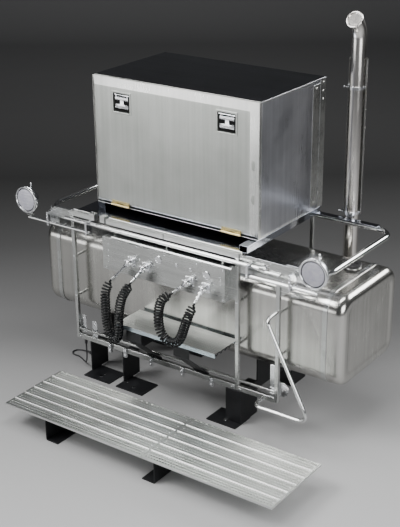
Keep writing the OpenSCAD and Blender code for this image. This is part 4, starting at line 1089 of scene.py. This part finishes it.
stack = Box("exhaust_stack")
sx, sy, top, bend, angle = 0.747, 0.614, 2.385, 0.150, radians(55)
line = [Vector((sx, sy, z)) for z in spread(stack.z0, top, 30)]
line += [Vector((sx, sy - bend * (1 - cos(angle * k / 14)), top + bend * sin(angle * k / 14)))
         for k in range(1, 15)]
pipe = Piece("stack_pipe")
pipe.sweep(line, 0.049, sides=56, inner=0.046)
pipe.lathe((sx, sy, stack.z0), Z, [(0, 0.0465), (0, 0.060), (0.001, 0.061), (0.009, 0.061),
    (0.010, 0.060), (0.010, 0.0492)], 56)
mouth = line[-1]
mouth_way = Vector((0, -sin(angle), cos(angle)))
lip = [(0.007 + 0.007 * sin(a), 0.0510 + 0.0070 * cos(a))
       for a in (radians(-90 + 270 * k / 16) for k in range(17))]
pipe.lathe(mouth, mouth_way, [(0.0, 0.0463)] + lip + [(0.004, 0.0463)], 64)
pipe.done(PIPE, "frame", "exhaust_stack", slot="polished_tube", smooth=40)
soot = Piece("stack_soot")
soot.sweep(line[-22:], 0.0457, sides=48, inner=0.0452)
soot.done(SOOT, "frame", slot="dark_paint")

shield = Box("heat_shield")
guard = Piece("shield_sheet")
radius, cell = 0.062, 0.030
row_count = int(shield.size.z / cell)
margin = (shield.size.z - cell * row_count) / 2
columns = spread(0.0, pi * radius, 12)
rows = [shield.z0] + [shield.z0 + margin + cell * k for k in range(row_count + 1)] + [shield.z1]
guard.perforated(
    columns, rows,
    lambda u, v: Vector((sx + radius * cos(u / radius), sy + radius * sin(u / radius), v)),
    lambda i, j: 0.0058 if 0 < j < len(rows) - 2 else 0)
guard.done(SHIELD, "frame", "heat_shield", slot="satin_sheet", solid=0.0018, smooth=60)

stack_bolts = Piece("stack_bolts")
for z in (1.230, 2.072):
    stack_bolts.bolt((0.668, 0.5905, z), -Y, 0.006)
    stack_bolts.bolt((0.672, 0.6375, z), Y, 0.006)
stack_bolts.done(CAST, "frame", slot="stainless")

# ---- walkway

pitch = 0.021
for side in ("left", "right"):
    plank = Box("walkway_plank_" + side)
    body = body_of("walkway_plank_" + side)
    sheet, strip = 0.003, (plank.y1 - plank.y0) / 6
    flat = plank.z1 - 0.006 - sheet / 2
    count = int((plank.size.x - 0.012) / pitch)
    inset = (plank.size.x - count * pitch) / 2
    columns = [plank.x0] + [plank.x0 + inset + pitch * k for k in range(count + 1)] + [plank.x1]
    rows = [plank.y0]
    for k in range(6):
        rows += [plank.y0 + strip * k + 0.008 + (strip - 0.016) * n / 3 for n in range(4)]
    rows += [plank.y1]
    tread = Piece("tread_" + side)

    def hole(i, j):
        if not 0 < i < len(columns) - 2 or j % 4 == 0:
            return 0
        return 0.0062 if j < 3 else 0.0048

    tread.perforated(columns, rows, lambda u, v: Vector((u, v, flat)), hole)
    tread.done(TREAD, body, "walkway_plank_" + side, slot="tread_sheet", solid=sheet * 0.9)
    edges = Piece("tread_edges_" + side)
    for y in (plank.y0, plank.y1 - sheet):
        edges.box((plank.x0, y, plank.z0), (plank.x1, y + sheet, flat + 0.0015), 0.0009)
    for x in (plank.x0, plank.x1 - sheet):
        edges.box((x, plank.y0 + sheet, plank.z0 + 0.002), (x + sheet, plank.y1 - sheet, flat),
                  0.0006)
    for k in range(1, 6):
        y = plank.y0 + strip * k
        edges.prism([Vector((0, y - 0.006, flat)), Vector((0, y - 0.0052, plank.z1 - 0.0012)),
            Vector((0, y - 0.0036, plank.z1)), Vector((0, y + 0.0036, plank.z1)),
            Vector((0, y + 0.0052, plank.z1 - 0.0012)), Vector((0, y + 0.006, flat))],
            X * (plank.x0 + 0.006), X * (plank.x1 - 0.006), 0.0004)
    for x in (plank.x0 + 0.020, plank.x1 - 0.020):
        for k in range(6):
            edges.rivet((x, plank.y0 + strip * (k + 0.5), flat + 0.0015), Z, 0.0055)
    scallop = int(plank.size.x / 0.042)
    for k in range(scallop):
        x = plank.x0 + (k + 0.5) * plank.size.x / scallop
        edges.lathe((x, plank.y1 - 0.0075, flat + 0.001), Z,
            [(0, 0.0070), (0.002, 0.0070), (0.003, 0.0055), (0.0032, 0)], 14)
    edges.done(CHANNEL, body, slot="tread_sheet", smooth=30)


# ---- stage, light

# How far back from the origin, in metres, and how light the floor is painted there: painted light
# falloff, pale in front, darkest behind the object and lighter again far back, where it stands in
# for the lamps' light fading
FLOOR_PAINTED_FALLOFF = [(-2.0, 0.43), (-1.3, 0.39), (-0.5, 0.31), (0.9, 0.140), (2.6, 0.070), (4.5, 0.040),
                (6.7, 0.10), (9.0, 0.15), (14.0, 0.21)]


def stage():
    """Pale floor that sweeps up into a darker backdrop behind the object, its colour ramp a painted
    light falloff.
    """
    floor = Surface("studio_floor", Specular_IOR_Level=0.2)
    cloud = floor.noise(1.2, detail=4.0)
    way_back = floor.node("SeparateXYZ", {"Vector": floor.place}).outputs["Y"]
    near, far = FLOOR_PAINTED_FALLOFF[0][0], FLOOR_PAINTED_FALLOFF[-1][0]
    # painted light falloff: the floor's colour follows how far back it is, in place of the lamps'
    # own falloff
    painted_falloff = floor.node("ValToRGB", {"Fac": floor.ramp(way_back, near, far)})
    stops = painted_falloff.color_ramp.elements
    for place, grey in FLOOR_PAINTED_FALLOFF[1:-1]:
        stops.new((place - near) / (far - near)).color = (grey, grey, grey, 1)
    for stop, (_, grey) in ((stops[0], FLOOR_PAINTED_FALLOFF[0]), (stops[-1], FLOOR_PAINTED_FALLOFF[-1])):
        stop.color = (grey, grey, grey * 1.01, 1)
    floor.colour(painted_falloff.outputs["Color"])
    floor.roughness(floor.ramp(cloud, 0.3, 0.7, 0.62, 0.72))
    mesh = bmesh.new()
    depth, wall, bend = 11.0, 9.0, 2.0
    outline = [(-16.0, 0.0), (-2.0, 0.0), (0.0, 0.0), (depth, 0.0)]
    outline += [(depth + bend * sin(a), bend * (1 - cos(a))) for a in
                (radians(10 * k) for k in range(1, 10))]
    outline.append((depth + bend, wall))
    rows = [[mesh.verts.new((x, y, z)) for x in (-18, 18)] for y, z in outline]
    for a, b in zip(rows, rows[1:]):
        mesh.faces.new((a[0], a[1], b[1], b[0]))
    data = bpy.data.meshes.new("studio")
    mesh.to_mesh(data)
    mesh.free()
    data.materials.append(floor.material)
    data.shade_smooth()
    obj = add("studio", data)
    obj.rotation_euler.z = radians(36)  # the floor's Y is then the camera's way forward


def softbox(name, at, target, size, power, colour=(1, 1, 1)):
    data = bpy.data.lights.new(name, "AREA")
    data.shape, data.size, data.size_y = "RECTANGLE", *size
    data.energy, data.color = power, colour
    light = add(name, data)
    light.location = at
    light.visible_camera = False
    light.rotation_mode = "QUATERNION"
    light.rotation_quaternion = (Vector(at) - Vector(target)).to_track_quat("Z", "Y")


def world(colour, strength):
    made = bpy.data.worlds.new("room")
    made.use_nodes = True
    background = made.node_tree.nodes["Background"]
    background.inputs[0].default_value = (*colour, 1)
    background.inputs[1].default_value = strength
    bpy.context.scene.world = made


stage()
world((0.60, 0.62, 0.64), 0.14)
softbox("key", (-2.2, -3.4, 5.2), (0, 0, 1.0), (3.4, 2.4), 430)
softbox("fill", (4.8, -2.0, 2.4), (0, 0, 0.8), (2.6, 2.4), 150)
softbox("overhead", (1.0, -0.6, 5.8), (0.4, -0.2, 1.0), (3.4, 1.6), 170)
softbox("rim", (3.2, 4.4, 4.0), (0.6, 0, 1.0), (3.0, 1.8), 260)
softbox("low_front", (-3.1, -5.2, 1.25), (0, -0.2, 1.6), (3.8, 1.3), 62)
